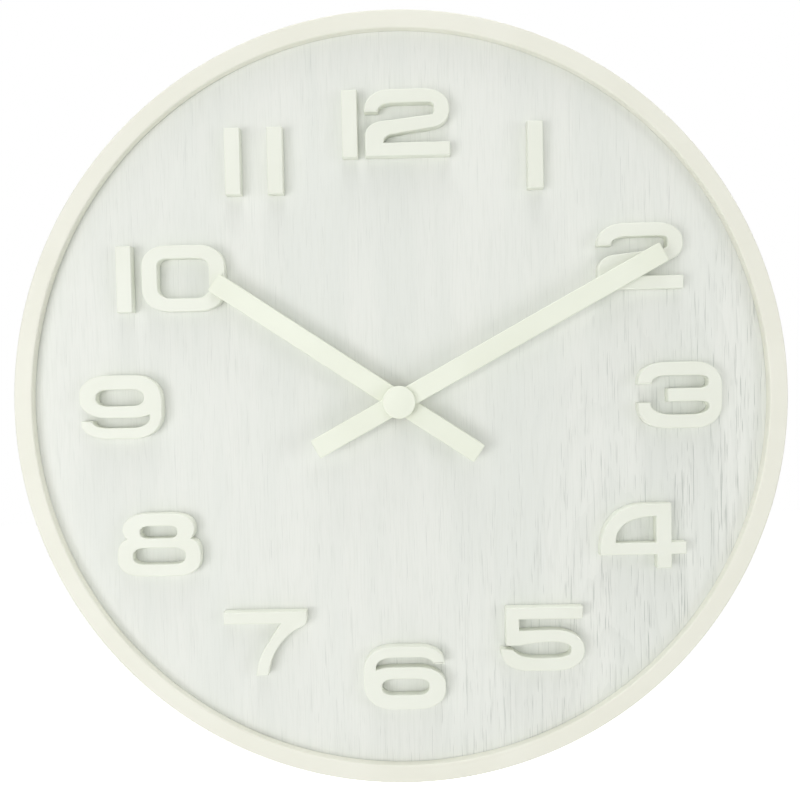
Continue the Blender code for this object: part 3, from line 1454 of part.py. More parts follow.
def build_battery():
    """The cell, lying across the bottom of the case with its nub to the right."""
    middle = (BATTERY_LEFT + BATTERY_RIGHT) / 2
    half = BATTERY_LENGTH / 2
    body_top = half - BATTERY_NUB_LENGTH
    edge_radius = BATTERY_RADIUS - BATTERY_EDGE
    profile = [
        (0, half),
        (BATTERY_NUB_RADIUS, half),
        (BATTERY_NUB_RADIUS, body_top),
        (edge_radius, body_top),
        (BATTERY_RADIUS, body_top - BATTERY_EDGE),
        (BATTERY_RADIUS, BATTERY_EDGE - half),
        (edge_radius, -half),
        (0, -half),
    ]
    battery = turned_mesh("battery", profile, BATTERY_STEPS)
    battery = add_piece("battery", battery, BATTERY_WRAP)
    battery.location = (middle, BATTERY_Y, BATTERY_Z)
    battery.rotation_euler = (0, math.pi / 2, 0)

    # The positive contact is a flat plate with a lead, drawn in y and z and laid against the wall.
    plate_top = BATTERY_Y + CONTACT_PLATE_HALF_HEIGHT
    plate_bottom = BATTERY_Y - CONTACT_PLATE_HALF_HEIGHT
    lead_top = CIRCUIT_BOTTOM - FIT_GAP
    lead_front = BATTERY_Z - CONTACT_LEAD_BEHIND + CONTACT_LEAD_WIDTH / 2
    lead_rear = lead_front - CONTACT_LEAD_WIDTH
    plate_rear = BATTERY_Z - CONTACT_PLATE_HALF_DEPTH
    plate_front = BATTERY_Z + CONTACT_PLATE_HALF_DEPTH
    outline = [
        (-plate_front, plate_bottom),
        (-plate_rear, plate_bottom),
        (-plate_rear, plate_top),
        (-lead_rear, plate_top),
        (-lead_rear, lead_top),
        (-lead_front, lead_top),
        (-lead_front, plate_top),
        (-plate_front, plate_top),
    ]
    right = CASE_INNER_HALF - FIT_GAP
    positive = flat_mesh("contact_positive", [outline], right - CONTACT_THICKNESS, right)
    positive = add_piece("contact_positive", positive, ZINC_STEEL)
    positive.rotation_euler = (0, math.pi / 2, 0)

    # The negative contact is a bowed leaf with a lead that runs up the wall to the circuit board.
    wall = FIT_GAP - CASE_INNER_HALF
    apex = BATTERY_LEFT - FIT_GAP
    outline = [
        (wall, plate_bottom),
        (wall + CONTACT_THICKNESS, plate_bottom),
        (apex, BATTERY_Y),
        (wall + CONTACT_THICKNESS, plate_top),
        (wall + CONTACT_THICKNESS, lead_top),
        (wall, lead_top),
        (wall, plate_top),
        (apex - CONTACT_THICKNESS, BATTERY_Y),
    ]
    negative = flat_mesh("contact_negative", [outline], plate_rear, plate_front)
    add_piece("contact_negative", negative, ZINC_STEEL)


build_rim()
build_dial()
build_numerals()
build_hanging()
build_front_case()
build_rear_case()
build_fixings()
build_motion_work()
build_time_train()
build_train_plate()
build_motor()
build_circuit()
build_battery()
build_hands()
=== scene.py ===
"""Looks for a large wall clock: finer surfaces, finishes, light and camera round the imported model.

All lengths are in metres. The wall is the plane y = 0, the dial faces -Y and +Z is up.
"""
import json
import math

import bmesh
import bpy
import numpy as np
from mathutils import Matrix, Vector
from mathutils.geometry import tessellate_polygon


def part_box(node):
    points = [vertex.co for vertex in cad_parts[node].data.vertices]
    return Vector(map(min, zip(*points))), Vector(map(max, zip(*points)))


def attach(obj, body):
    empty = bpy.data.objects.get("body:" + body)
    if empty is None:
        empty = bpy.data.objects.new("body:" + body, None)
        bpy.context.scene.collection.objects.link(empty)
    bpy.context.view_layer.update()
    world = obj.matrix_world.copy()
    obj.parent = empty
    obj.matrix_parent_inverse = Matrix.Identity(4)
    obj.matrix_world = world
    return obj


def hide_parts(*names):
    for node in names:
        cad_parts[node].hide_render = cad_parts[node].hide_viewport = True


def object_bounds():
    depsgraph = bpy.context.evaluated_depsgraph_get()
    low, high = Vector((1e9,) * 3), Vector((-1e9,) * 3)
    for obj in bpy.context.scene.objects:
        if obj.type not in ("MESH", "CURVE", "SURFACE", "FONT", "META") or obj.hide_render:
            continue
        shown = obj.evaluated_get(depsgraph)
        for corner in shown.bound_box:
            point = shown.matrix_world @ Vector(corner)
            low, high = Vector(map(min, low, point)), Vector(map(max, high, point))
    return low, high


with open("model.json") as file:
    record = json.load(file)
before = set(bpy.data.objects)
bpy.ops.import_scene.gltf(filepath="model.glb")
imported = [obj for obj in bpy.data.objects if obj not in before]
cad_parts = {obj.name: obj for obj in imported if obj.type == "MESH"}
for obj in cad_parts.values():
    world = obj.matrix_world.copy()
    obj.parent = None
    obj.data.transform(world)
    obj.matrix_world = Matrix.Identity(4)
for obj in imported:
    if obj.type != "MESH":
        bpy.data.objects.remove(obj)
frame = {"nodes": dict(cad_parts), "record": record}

bl_info = {
    "name": "Wall clock looks",
    "version": (1, 0, 0),
    "blender": (4, 5, 0),
    "location": "View3D > Sidebar > Clock",
    "description": "Builds the finishes and finer surfaces of a wall clock round its packed model",
    "category": "Object",
}

MM = 0.001
QUARTER = math.pi / 2
CAD_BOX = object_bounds()
RIM_LOW, RIM_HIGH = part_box("rim")
HUB_X = (RIM_LOW.x + RIM_HIGH.x) / 2
HUB_Z = (RIM_LOW.z + RIM_HIGH.z) / 2
HUB = (HUB_X, HUB_Z)
SLOT_OF = {part["node"]: part["material_slot"] for part in frame["record"]["subparts"]}
BODY_OF = {
    node: body
    for body, nodes in frame["record"]["behaviour"]["bodies"].items()
    for node in nodes
}
WELD = 0.000001
SHARP = math.radians(30)
GUARD = 0.0004

# Digit outlines, as in the part's source: a corner's x and y, and how far before and after it the
# edge bends, all as shares of the cap height. The first loop is the outside, the others openings.
CAP_HEIGHT = 0.0451
BEND_FULLNESS = 0.6
DIGIT_SHARES = {
    "0": (
        ((-0.633, 0.5, 0.32, 0.4), (0.633, 0.5, 0.42, 0.34), (0.633, -0.5, 0.34, 0.42),
         (-0.633, -0.5, 0.42, 0.34)),
        ((-0.392, 0.3, 0.11, 0.15), (0.392, 0.3, 0.2, 0.16), (0.392, -0.3, 0.16, 0.2),
         (-0.392, -0.3, 0.2, 0.16)),
    ),
    "1": (
        ((-0.118, 0.5, 0, 0), (0.118, 0.5, 0, 0), (0.118, -0.5, 0, 0), (-0.118, -0.5, 0, 0)),
    ),
    "2": (
        ((-0.64, 0.165, 0, 0), (-0.64, 0.5, 0.31, 0.41), (0.637, 0.5, 0.42, 0.295),
         (0.637, -0.045, 0.225, 0.255), (-0.355, -0.19, 0.135, 0.09), (-0.355, -0.295, 0, 0),
         (0.64, -0.295, 0, 0), (0.64, -0.495, 0, 0), (-0.637, -0.495, 0, 0),
         (-0.637, 0, 0.2, 0.24), (0.4, 0.113, 0.045, 0.045), (0.4, 0.297, 0.06, 0.09),
         (-0.44, 0.29, 0.24, 0.11), (-0.43, 0.165, 0, 0)),
    ),
    "3": (
        ((-0.625, 0.17, 0, 0), (-0.625, 0.502, 0.307, 0.407), (0.64, 0.502, 0.422, 0.362),
         (0.64, -0.502, 0.362, 0.422), (-0.625, -0.502, 0.407, 0.347), (-0.625, -0.109, 0, 0),
         (-0.437, -0.109, 0, 0), (-0.42, -0.295, 0.16, 0.33), (0.445, -0.298, 0.28, 0.12),
         (0.445, -0.098, 0.08, 0.121), (-0.178, -0.098, 0, 0), (-0.178, 0.103, 0, 0),
         (0.434, 0.103, 0.121, 0.075), (0.434, 0.29, 0.075, 0.121), (-0.42, 0.295, 0.22, 0.11),
         (-0.41, 0.17, 0, 0)),
    ),
    "4": (
        ((0.427, -0.495, 0, 0), (0.205, -0.495, 0, 0), (0.205, -0.281, 0, 0),
         (-0.655, -0.281, 0, 0), (-0.655, 0.495, 0.694, 0.694), (0.427, 0.495, 0, 0),
         (0.427, -0.098, 0, 0), (0.65, -0.098, 0, 0), (0.65, -0.281, 0, 0), (0.427, -0.281, 0, 0)),
        ((0.193, -0.098, 0, 0), (-0.415, -0.098, 0, 0), (-0.415, 0.302, 0.362, 0.588),
         (0.193, 0.302, 0, 0)),
    ),
    "5": (
        ((-0.558, 0.489, 0, 0), (0.615, 0.489, 0, 0), (0.615, 0.305, 0, 0), (-0.354, 0.305, 0, 0),
         (-0.354, 0.13, 0, 0), (0.637, 0.152, 0.54, 0.31), (0.637, -0.489, 0.302, 0.422),
         (-0.64, -0.489, 0.422, 0.317), (-0.64, -0.148, 0, 0), (-0.47, -0.158, 0, 0),
         (-0.3, -0.292, 0.12, 0.2), (0.43, -0.292, 0.26, 0.1), (0.43, -0.048, 0.1, 0.28),
         (-0.08, -0.048, 0.16, 0.16), (-0.354, -0.097, 0, 0), (-0.558, -0.097, 0, 0)),
    ),
    "6": (
        ((0.614, 0.21, 0, 0), (0.614, 0.486, 0.256, 0.422), (-0.63, 0.486, 0.452, 0.392),
         (-0.63, -0.486, 0.392, 0.452), (0.63, -0.486, 0.422, 0.302), (0.63, 0.166, 0.287, 0.452),
         (-0.3, 0.166, 0.12, 0.075), (-0.437, 0.125, 0, 0), (-0.437, 0.317, 0.151, 0.271),
         (0.433, 0.317, 0.241, 0.098), (0.433, 0.21, 0, 0)),
        ((-0.348, -0.015, 0.106, 0.181), (0.374, -0.015, 0.181, 0.106),
         (0.374, -0.265, 0.106, 0.181), (-0.348, -0.265, 0.181, 0.106)),
    ),
    "7": (
        ((-0.637, 0.492, 0, 0), (0.637, 0.492, 0, 0), (0.637, 0.293, 0.05, 0.06),
         (0.15, 0.05, 0.4, 0.42), (0.027, -0.492, 0, 0), (-0.16, -0.492, 0, 0),
         (-0.112, -0.211, 0.196, 0.196), (0.229, 0.305, 0, 0), (-0.637, 0.305, 0, 0)),
    ),
    "8": (
        ((-0.492, 0.095, 0, 0), (-0.552, 0.158, 0.06, 0.075), (-0.552, 0.483, 0.241, 0.362),
         (0.552, 0.483, 0.362, 0.241), (0.552, 0.158, 0.075, 0.06), (0.492, 0.095, 0, 0),
         (0.638, 0.023, 0.106, 0.181), (0.638, -0.483, 0.256, 0.377),
         (-0.638, -0.483, 0.377, 0.256), (-0.638, 0.023, 0.181, 0.106)),
        ((-0.281, 0.287, 0.075, 0.121), (0.281, 0.287, 0.121, 0.075), (0.281, 0.104, 0.075, 0.121),
         (-0.281, 0.104, 0.121, 0.075)),
        ((-0.398, -0.048, 0.106, 0.166), (0.398, -0.048, 0.166, 0.106),
         (0.398, -0.297, 0.106, 0.166), (-0.398, -0.297, 0.166, 0.106)),
    ),
}


# Surfaces


def grid_faces(ids, wrap_first, wrap_second):
    """The quads of a grid of vertex numbers, closed along either direction if asked."""
    if wrap_first:
        ids = np.vstack([ids, ids[:1]])
    if wrap_second:
        ids = np.hstack([ids, ids[:, :1]])
    quads = np.stack([ids[:-1, :-1], ids[1:, :-1], ids[1:, 1:], ids[:-1, 1:]], -1)
    return quads.reshape(-1, 4).tolist()


def new_piece(name, points, faces, material, body, nodes=(), turned_right=True):
    """A finished mesh object: doubles merged, faces outward, smooth but for its sharp edges."""
    mesh = bpy.data.meshes.new(name)
    mesh.from_pydata(np.asarray(points, float).reshape(-1, 3).tolist(), [], faces)
    shape = bmesh.new()
    shape.from_mesh(mesh)
    bmesh.ops.remove_doubles(shape, verts=shape.verts, dist=WELD)
    bmesh.ops.dissolve_degenerate(shape, edges=shape.edges, dist=WELD)
    if turned_right:
        bmesh.ops.recalc_face_normals(shape, faces=shape.faces)
    shape.to_mesh(mesh)
    shape.free()
    mesh.shade_smooth()
    mesh.set_sharp_from_angle(angle=SHARP)
    mesh.materials.append(material)
    piece = bpy.data.objects.new(name, mesh)
    bpy.context.scene.collection.objects.link(piece)
    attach(piece, body)
    if nodes:
        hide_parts(*nodes)
    return piece


def filleted(corners, radii, closed=True, steps=5, guard=0.0):
    """A polygon whose corners become arcs that touch both edges.

    The arc of a corner with half angle h has its centre radius / sin h from the corner along the
    bisector, and its ends radius / tan h along the edges. A guard adds a point that far beyond each
    end, which keeps the flat beside the arc flat when it is shaded.
    """
    corners = np.asarray(corners, float)
    count = len(corners)
    runs = []
    for i, (corner, radius) in enumerate(zip(corners, radii)):
        if not radius or (not closed and i in (0, count - 1)):
            runs.append(corner[None])
            continue
        before = corners[i - 1] - corner
        after = corners[(i + 1) % count] - corner
        before /= np.linalg.norm(before)
        after /= np.linalg.norm(after)
        half = math.acos(np.clip(before @ after, -1, 1)) / 2
        reach = radius / math.tan(half)
        bisector = (before + after) / np.linalg.norm(before + after)
        centre = corner + bisector * radius / math.sin(half)
        ends = corner + np.array([before, after]) * reach - centre
        start, end = np.arctan2(ends[:, 1], ends[:, 0])
        sweep = (end - start + math.pi) % (2 * math.pi) - math.pi
        angle = start + sweep * np.linspace(0, 1, steps + 1)
        run = centre + radius * np.stack([np.cos(angle), np.sin(angle)], 1)
        if guard:
            far = reach + guard
            run = np.vstack([corner + before * far, run, corner + after * far])
        runs.append(run)
    return np.vstack(runs)


def turned(profile, steps, centre=HUB, closed=True):
    """A surface of revolution about the line through centre along Y, as points and faces.

    With profile points (r, h): x = cx + r cos a, y = -h, z = cz + r sin a, for a round the circle.
    """
    profile = np.asarray(profile, float)
    angle = np.arange(steps) * 2 * math.pi / steps
    radius, height = profile[None, :, 0], profile[None, :, 1]
    points = np.stack([
        centre[0] + radius * np.cos(angle)[:, None],
        np.broadcast_to(-height, (steps, len(profile))),
        centre[1] + radius * np.sin(angle)[:, None],
    ], -1)
    ids = np.arange(steps * len(profile)).reshape(steps, -1)
    return points.reshape(-1, 3), grid_faces(ids, True, closed)


def offset_loop(loop, inset):
    """A closed outline moved to its left by the inset: each point goes along the mitre, which is
    the sum of both edges' unit normals over one plus their dot product."""
    edge = np.roll(loop, -1, 0) - loop
    edge /= np.linalg.norm(edge, axis=1)[:, None]
    normal = np.stack([-edge[:, 1], edge[:, 0]], 1)
    before = np.roll(normal, 1, 0)
    mitre = (normal + before) / (1 + (normal * before).sum(1))[:, None]
    return loop + inset * mitre


def signed_area(loop):
    """Twice the area inside an outline, positive if it runs counter-clockwise."""
    x, y = loop.T
    return float(x @ np.roll(y, -1) - y @ np.roll(x, -1))


def slab(loops, profile, place=(0.0, 0.0), turn=0.0):
    """A flat piece with worked edges, as points and faces.

    Each profile entry (inset, height) is carried round every outline as its mitred offset, and
    flat faces close the first and last rows. Outlines are turned about their origin, then put at
    place (x, z), and a height h lies at y = -h.
    """
    points, faces, caps, start = [], [], ([], []), 0
    cos, sin = math.cos(turn), math.sin(turn)
    spin = np.array([[cos, sin], [-sin, cos]])
    for number, loop in enumerate(loops):
        loop = np.asarray(loop, float)
        if (signed_area(loop) > 0) != (number == 0):
            loop = loop[::-1]
        rows = np.stack([offset_loop(loop, inset) @ spin + place for inset, _ in profile])
        heights = np.array([height for _, height in profile])[:, None]
        x, z = rows[..., 0], rows[..., 1]
        points.append(np.stack([x, np.broadcast_to(-heights, x.shape), z], -1).reshape(-1, 3))
        ids = start + np.arange(x.size).reshape(x.shape)
        faces += grid_faces(ids, False, True)
        for cap, row in zip(caps, (0, -1)):
            cap.append((ids[row], rows[row]))
        start += x.size
    for cap in caps:
        ids = np.concatenate([entry[0] for entry in cap])
        outlines = [[Vector((a, b, 0)) for a, b in entry[1]] for entry in cap]
        faces += ids[np.array(tessellate_polygon(outlines))].tolist()
    return np.vstack(points), faces


def edge_profile(rear, front, rear_edge, front_edge, steps=5):
    """(inset, height) pairs from the rear face round the wall to the front face, both rounded."""
    reach = front_edge + GUARD
    corners = [(reach, rear), (0, rear), (0, front), (reach, front)]
    return filleted(corners, (0, rear_edge, front_edge, 0), closed=False, steps=steps)


def circle(radius, steps, centre=(0.0, 0.0)):
    """A round outline."""
    angle = np.arange(steps) * 2 * math.pi / steps
    return np.stack([centre[0] + radius * np.cos(angle), centre[1] + radius * np.sin(angle)], 1)


def bent_outline(corners, turned_round):
    """A digit's outline: each bend is a cubic curve whose handles lie on both edges."""
    corners = np.asarray(corners, float)
    places = corners[:, :2]
    runs = []
    for i, (x, y, lead_in, lead_out) in enumerate(corners):
        corner = np.array([x, y])
        if not lead_in and not lead_out:
            runs.append(corner[None])
            continue
        before = places[i - 1] - corner
        after = places[(i + 1) % len(places)] - corner
        start = corner + before * lead_in / np.linalg.norm(before)
        end = corner + after * lead_out / np.linalg.norm(after)
        first = start + (corner - start) * BEND_FULLNESS
        second = end + (corner - end) * BEND_FULLNESS
        t = np.linspace(0, 1, 8 + round(28 * (lead_in + lead_out)))[:, None]
        runs.append(
            (1 - t) ** 3 * start + 3 * t * (1 - t) ** 2 * first
            + 3 * t * t * (1 - t) * second + t ** 3 * end
        )
    outline = np.vstack(runs)
    apart = np.linalg.norm(outline - np.roll(outline, 1, 0), axis=1) > 0.0005
    return outline[apart] * (-CAP_HEIGHT if turned_round else CAP_HEIGHT)


def softened_copy(node, name, material, width, segments=2, angle=50):
    """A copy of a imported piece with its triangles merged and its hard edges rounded."""
    mesh = frame["nodes"][node].data.copy()
    shape = bmesh.new()
    shape.from_mesh(mesh)
    bmesh.ops.remove_doubles(shape, verts=shape.verts, dist=WELD)
    bmesh.ops.dissolve_limit(
        shape, angle_limit=math.radians(0.5), verts=shape.verts, edges=shape.edges
    )
    shape.to_mesh(mesh)
    shape.free()
    mesh.name = name
    mesh.materials.clear()
    mesh.materials.append(material)
    mesh.shade_smooth()
    mesh.set_sharp_from_angle(angle=SHARP)
    piece = bpy.data.objects.new(name, mesh)
    bpy.context.scene.collection.objects.link(piece)
    bevel = piece.modifiers.new("softened_edges", "BEVEL")
    bevel.width = width
    bevel.segments = segments
    bevel.limit_method = "ANGLE"
    bevel.angle_limit = math.radians(angle)
    bevel.harden_normals = True
    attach(piece, BODY_OF[node])
    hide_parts(node)
    return piece


# Finishes


def linear(code):
    """The linear colour of an sRGB hex value."""
    seen = [int(code[i:i + 2], 16) / 255 for i in (0, 2, 4)]
    return [c / 12.92 if c <= 0.04045 else ((c + 0.055) / 1.055) ** 2.4 for c in seen] + [1.0]


def add_node(tree, kind, values=None, links=None, **settings):
    """Add a shader node with its settings, input values and incoming links."""
    node = tree.nodes.new(kind)
    for key, value in settings.items():
        setattr(node, key, value)
    for key, value in (values or {}).items():
        node.inputs[key].default_value = value
    for key, socket in (links or {}).items():
        tree.links.new(socket, node.inputs[key])
    return node


def new_finish(name, **shader):
    """A material with its tree, its shader and an Object coordinate socket."""
    material = bpy.data.materials.new(name)
    material.use_nodes = True
    tree = material.node_tree
    tree.nodes.clear()
    surface = add_node(tree, "ShaderNodeBsdfPrincipled", shader)
    add_node(tree, "ShaderNodeOutputMaterial", links={"Surface": surface.outputs["BSDF"]})
    place = add_node(tree, "ShaderNodeTexCoord").outputs["Object"]
    return material, tree, surface, place


def stretched(tree, place, size_x, size_y, size_z, shift=(0.0, 0.0, 0.0)):
    """Coordinates in which one unit is the given length along each axis."""
    scale = (1 / size_x, 1 / size_y, 1 / size_z)
    return add_node(
        tree, "ShaderNodeMapping", {"Scale": scale, "Location": shift}, {"Vector": place}
    ).outputs["Vector"]


def noise(tree, vector, detail=2.0, roughness=0.5):
    """Noise whose features are about one unit across."""
    return add_node(
        tree, "ShaderNodeTexNoise", {"Scale": 1.0, "Detail": detail, "Roughness": roughness},
        {"Vector": vector},
    ).outputs["Fac"]


def span(tree, value, low, high, to_low=0.0, to_high=1.0, smooth=True):
    """A value stretched from one range to another."""
    return add_node(
        tree, "ShaderNodeMapRange",
        {"From Min": low, "From Max": high, "To Min": to_low, "To Max": to_high},
        {"Value": value}, interpolation_type="SMOOTHSTEP" if smooth else "LINEAR",
    ).outputs["Result"]


def combined(tree, operation, first, second):
    """Two values put together; either may be a number."""
    values = {i: v for i, v in enumerate((first, second)) if isinstance(v, (int, float))}
    links = {i: v for i, v in enumerate((first, second)) if not isinstance(v, (int, float))}
    return add_node(tree, "ShaderNodeMath", values, links, operation=operation).outputs["Value"]


def times(tree, first, second):
    """The product of two values."""
    return combined(tree, "MULTIPLY", first, second)


def plus(tree, first, second):
    """The sum of two values."""
    return combined(tree, "ADD", first, second)


def minus(tree, first, second):
    """The first value less the second."""
    return combined(tree, "SUBTRACT", first, second)


def blended(tree, share, first, second):
    """A colour between two; each is a hex code or a socket."""
    values, links = {}, {"Factor": share}
    for key, colour in (("A", first), ("B", second)):
        index = {"A": 6, "B": 7}[key]
        if isinstance(colour, str):
            values[index] = linear(colour)
        else:
            links[index] = colour
    node = add_node(tree, "ShaderNodeMix", values, links, data_type="RGBA")
    return node.outputs[2]


def raised(tree, height, depth, strength=1.0, below=None):
    """A bump whose full height is the given depth."""
    links = {"Height": height}
    if below is not None:
        links["Normal"] = below
    return add_node(
        tree, "ShaderNodeBump", {"Distance": depth, "Strength": strength}, links
    ).outputs["Normal"]


def sprayed_lacquer(name, colour, shade, roughness):
    """Satin lacquer sprayed on sanded fibreboard. The eye gets a soft wide sheen, a faint orange
    peel and very slight drifts of tone."""
    material, tree, surface, place = new_finish(name, Roughness=roughness, IOR=1.5)
    drift = noise(tree, stretched(tree, place, 55 * MM, 55 * MM, 55 * MM), 3.0)
    # Real spray peel is about 0.5 mm across; it is drawn at 1.4 mm so that it can show.
    peel = noise(tree, stretched(tree, place, 1.4 * MM, 1.4 * MM, 1.4 * MM), 1.0)
    tree.links.new(
        blended(tree, span(tree, drift, 0.3, 0.7), shade, colour), surface.inputs["Base Color"]
    )
    tree.links.new(raised(tree, peel, 0.02 * MM, 0.6), surface.inputs["Normal"])
    return material


def limed_veneer(name, colours):
    """Open-pored veneer, brushed and limed white. The eye gets short dark pore dashes along the
    upright grain, thicker towards the lower right, where the cut shows cathedral arches."""
    material, tree, surface, place = new_finish(name, Roughness=0.62, IOR=1.45)
    ground, clouds, early, pore = colours
    warp = noise(tree, stretched(tree, place, 22 * MM, 60 * MM, 130 * MM), 3.0)
    wide = noise(tree, stretched(tree, place, 26 * MM, 60 * MM, 190 * MM, (3, 0, 1)), 3.0)
    fine = noise(tree, stretched(tree, place, 1.3 * MM, 9 * MM, 26 * MM), 3.0, 0.6)

    axes = add_node(tree, "ShaderNodeSeparateXYZ", links={"Vector": place})
    across = axes.outputs["X"]
    along = axes.outputs["Z"]
    # Arches: rings about a far point low on the right, squeezed across the grain.
    rise_x = times(tree, minus(tree, across, 0.145), 1 / (9 * MM))
    rise_z = times(tree, minus(tree, along, -0.56), 1 / (56 * MM))
    squares = plus(tree, times(tree, rise_x, rise_x), times(tree, rise_z, rise_z))
    reach = combined(tree, "POWER", squares, 0.5)
    rings = plus(tree, reach, times(tree, warp, 2.4))
    ring_part = combined(tree, "FRACT", rings, 0.0)
    late = span(tree, ring_part, 0.45, 1.0)

    # The lower right gets more and darker pores.
    spread = plus(tree, times(tree, across, 2.6), times(tree, along, -1.5))
    corner = span(tree, spread, 0.35, 1.15)
    # Pores are 0.2 mm wide in real wood; they are drawn 0.45 mm wide and about 22 mm long, and
    # gather in upright rows a few millimetres apart.
    dash = noise(tree, stretched(tree, place, 0.45 * MM, 3 * MM, 22 * MM), 1.0, 0.4)
    rows = noise(tree, stretched(tree, place, 2.4 * MM, 20 * MM, 70 * MM, (0, 5, 2)), 2.0, 0.6)
    gather = plus(
        tree, times(tree, corner, 0.06), span(tree, rows, 0.35, 0.75, -0.05, 0.09)
    )
    over = minus(tree, dash, minus(tree, 0.70, gather))
    pores = span(tree, over, 0.0, 0.08)
    weight = plus(tree, 0.30, times(tree, corner, 0.62))
    dark = combined(
        tree, "MAXIMUM",
        times(tree, pores, weight),
        times(tree, times(tree, late, corner), 0.12),
    )
    base = blended(tree, span(tree, wide, 0.35, 0.7), ground, clouds)
    base = blended(tree, span(tree, fine, 0.42, 0.75, 0.0, 0.5), base, early)
    base = blended(tree, dark, base, pore)
    tree.links.new(base, surface.inputs["Base Color"])
    relief = minus(tree, times(tree, fine, 0.35), dark)
    tree.links.new(raised(tree, relief, 0.12 * MM, 0.7), surface.inputs["Normal"])
    tree.links.new(
        span(tree, dark, 0.0, 1.0, 0.6, 0.8, smooth=False), surface.inputs["Roughness"]
    )
    return material


def grained_wood(name, light, dark, across, along, pores):
    """Planed softwood or fibreboard: stretched rings and short fibres, matt."""
    material, tree, surface, place = new_finish(name, Roughness=0.75, IOR=1.45)
    rings = noise(tree, stretched(tree, place, along, across, across), 4.0, 0.6)
    fibres = noise(tree, stretched(tree, place, pores * 6, pores, pores), 2.0, 0.6)
    share = plus(
        tree, span(tree, rings, 0.3, 0.7, 0.0, 0.65), span(tree, fibres, 0.3, 0.7, 0.0, 0.35)
    )
    tree.links.new(blended(tree, share, light, dark), surface.inputs["Base Color"])
    tree.links.new(raised(tree, fibres, 0.08 * MM, 0.6), surface.inputs["Normal"])
    return material


def worked_metal(name, light, dark, roughness, grain, metallic=1.0):
    """Rolled, plated or drawn metal: fine lines along the grain and slight clouds in the plate."""
    material, tree, surface, place = new_finish(name, Roughness=roughness, Metallic=metallic)
    lines = noise(tree, stretched(tree, place, *(size * MM for size in grain)), 3.0, 0.6)
    clouds = noise(tree, stretched(tree, place, 6 * MM, 6 * MM, 6 * MM), 3.0)
    share = times(tree, span(tree, clouds, 0.3, 0.7), span(tree, lines, 0.2, 0.8))
    tree.links.new(blended(tree, share, light, dark), surface.inputs["Base Color"])
    tree.links.new(
        span(tree, lines, 0.3, 0.7, roughness - 0.06, roughness + 0.1, smooth=False),
        surface.inputs["Roughness"],
    )
    tree.links.new(raised(tree, lines, 0.01 * MM, 0.5), surface.inputs["Normal"])
    return material


def within(tree, value, limit):
    """One where a length is within a limit of zero, with an edge 0.1 mm wide."""
    size = combined(tree, "ABSOLUTE", value, 0.0)
    return span(tree, size, limit + 0.05 * MM, limit - 0.05 * MM)


def moulded_marks(tree, place):
    """Height of the marks on the movement's back: an arrow that turns round the knob, a plus by
    the cell's button end and a minus by its foot."""
    axes = add_node(tree, "ShaderNodeSeparateXYZ", links={"Vector": place})
    across, along = axes.outputs["X"], axes.outputs["Z"]
    knob_x, knob_z = middle("setting_knob")
    x = minus(tree, across, knob_x)
    z = minus(tree, along, knob_z)
    squares = plus(tree, times(tree, x, x), times(tree, z, z))
    off_ring = minus(tree, combined(tree, "POWER", squares, 0.5), 7.2 * MM)
    angle = combined(tree, "ARCTAN2", z, x)
    arc = times(
        tree, within(tree, off_ring, 0.3 * MM),
        times(tree, span(tree, angle, 0.58, 0.6), span(tree, angle, 2.22, 2.2)),
    )
    # The head narrows from 1.1 mm to nothing over 0.28 of a radian.
    left = times(tree, minus(tree, 2.48, angle), 4 * MM)
    head = times(
        tree, span(tree, minus(tree, left, combined(tree, "ABSOLUTE", off_ring, 0.0)),
             0.0, 0.1 * MM),
        span(tree, angle, 2.18, 2.2),
    )
    marks = combined(tree, "MAXIMUM", arc, head)
    low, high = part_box("battery")
    row = high.z + 2.6 * MM
    for centre, upright in ((high.x - 3 * MM, True), (low.x + 3 * MM, False)):
        x = minus(tree, across, centre)
        z = minus(tree, along, row)
        flat = times(tree, within(tree, x, 1.5 * MM), within(tree, z, 0.3 * MM))
        marks = combined(tree, "MAXIMUM", marks, flat)
        if upright:
            tall = times(tree, within(tree, x, 0.3 * MM), within(tree, z, 1.5 * MM))
            marks = combined(tree, "MAXIMUM", marks, tall)
    return marks


def moulded_plastic(name, light, dark, roughness, grit, depth, marked=False):
    """Injection-moulded plastic: an even fine spark-eroded grain and a faint drift of tone."""
    material, tree, surface, place = new_finish(name, Roughness=roughness, IOR=1.48)
    grain = noise(tree, stretched(tree, place, grit * MM, grit * MM, grit * MM), 2.0)
    drift = noise(tree, stretched(tree, place, 9 * MM, 9 * MM, 9 * MM), 2.0)
    share = plus(
        tree, span(tree, grain, 0.3, 0.7, 0.0, 0.5), span(tree, drift, 0.3, 0.7, 0.0, 0.5)
    )
    tree.links.new(blended(tree, share, light, dark), surface.inputs["Base Color"])
    normal = raised(tree, grain, depth * MM, 0.6)
    if marked:
        normal = raised(tree, moulded_marks(tree, place), 0.2 * MM, 1.0, normal)
    tree.links.new(normal, surface.inputs["Normal"])
    return material


def wound_wire(name):
    """Enamelled copper wire in close turns along X, drawn at 0.25 mm so that the turns show."""
    material, tree, surface, place = new_finish(name, Roughness=0.3, Metallic=1.0)
    turns = add_node(
        tree, "ShaderNodeTexWave", {"Scale": 1.0, "Distortion": 0.2},
        {"Vector": stretched(tree, place, 1.0, 1.0, 1.6 * MM)},
        wave_type="BANDS", bands_direction="Z",
    ).outputs["Fac"]
    tree.links.new(blended(tree, turns, "5A2A14", "C2703C"), surface.inputs["Base Color"])
    tree.links.new(raised(tree, turns, 0.05 * MM), surface.inputs["Normal"])
    return material


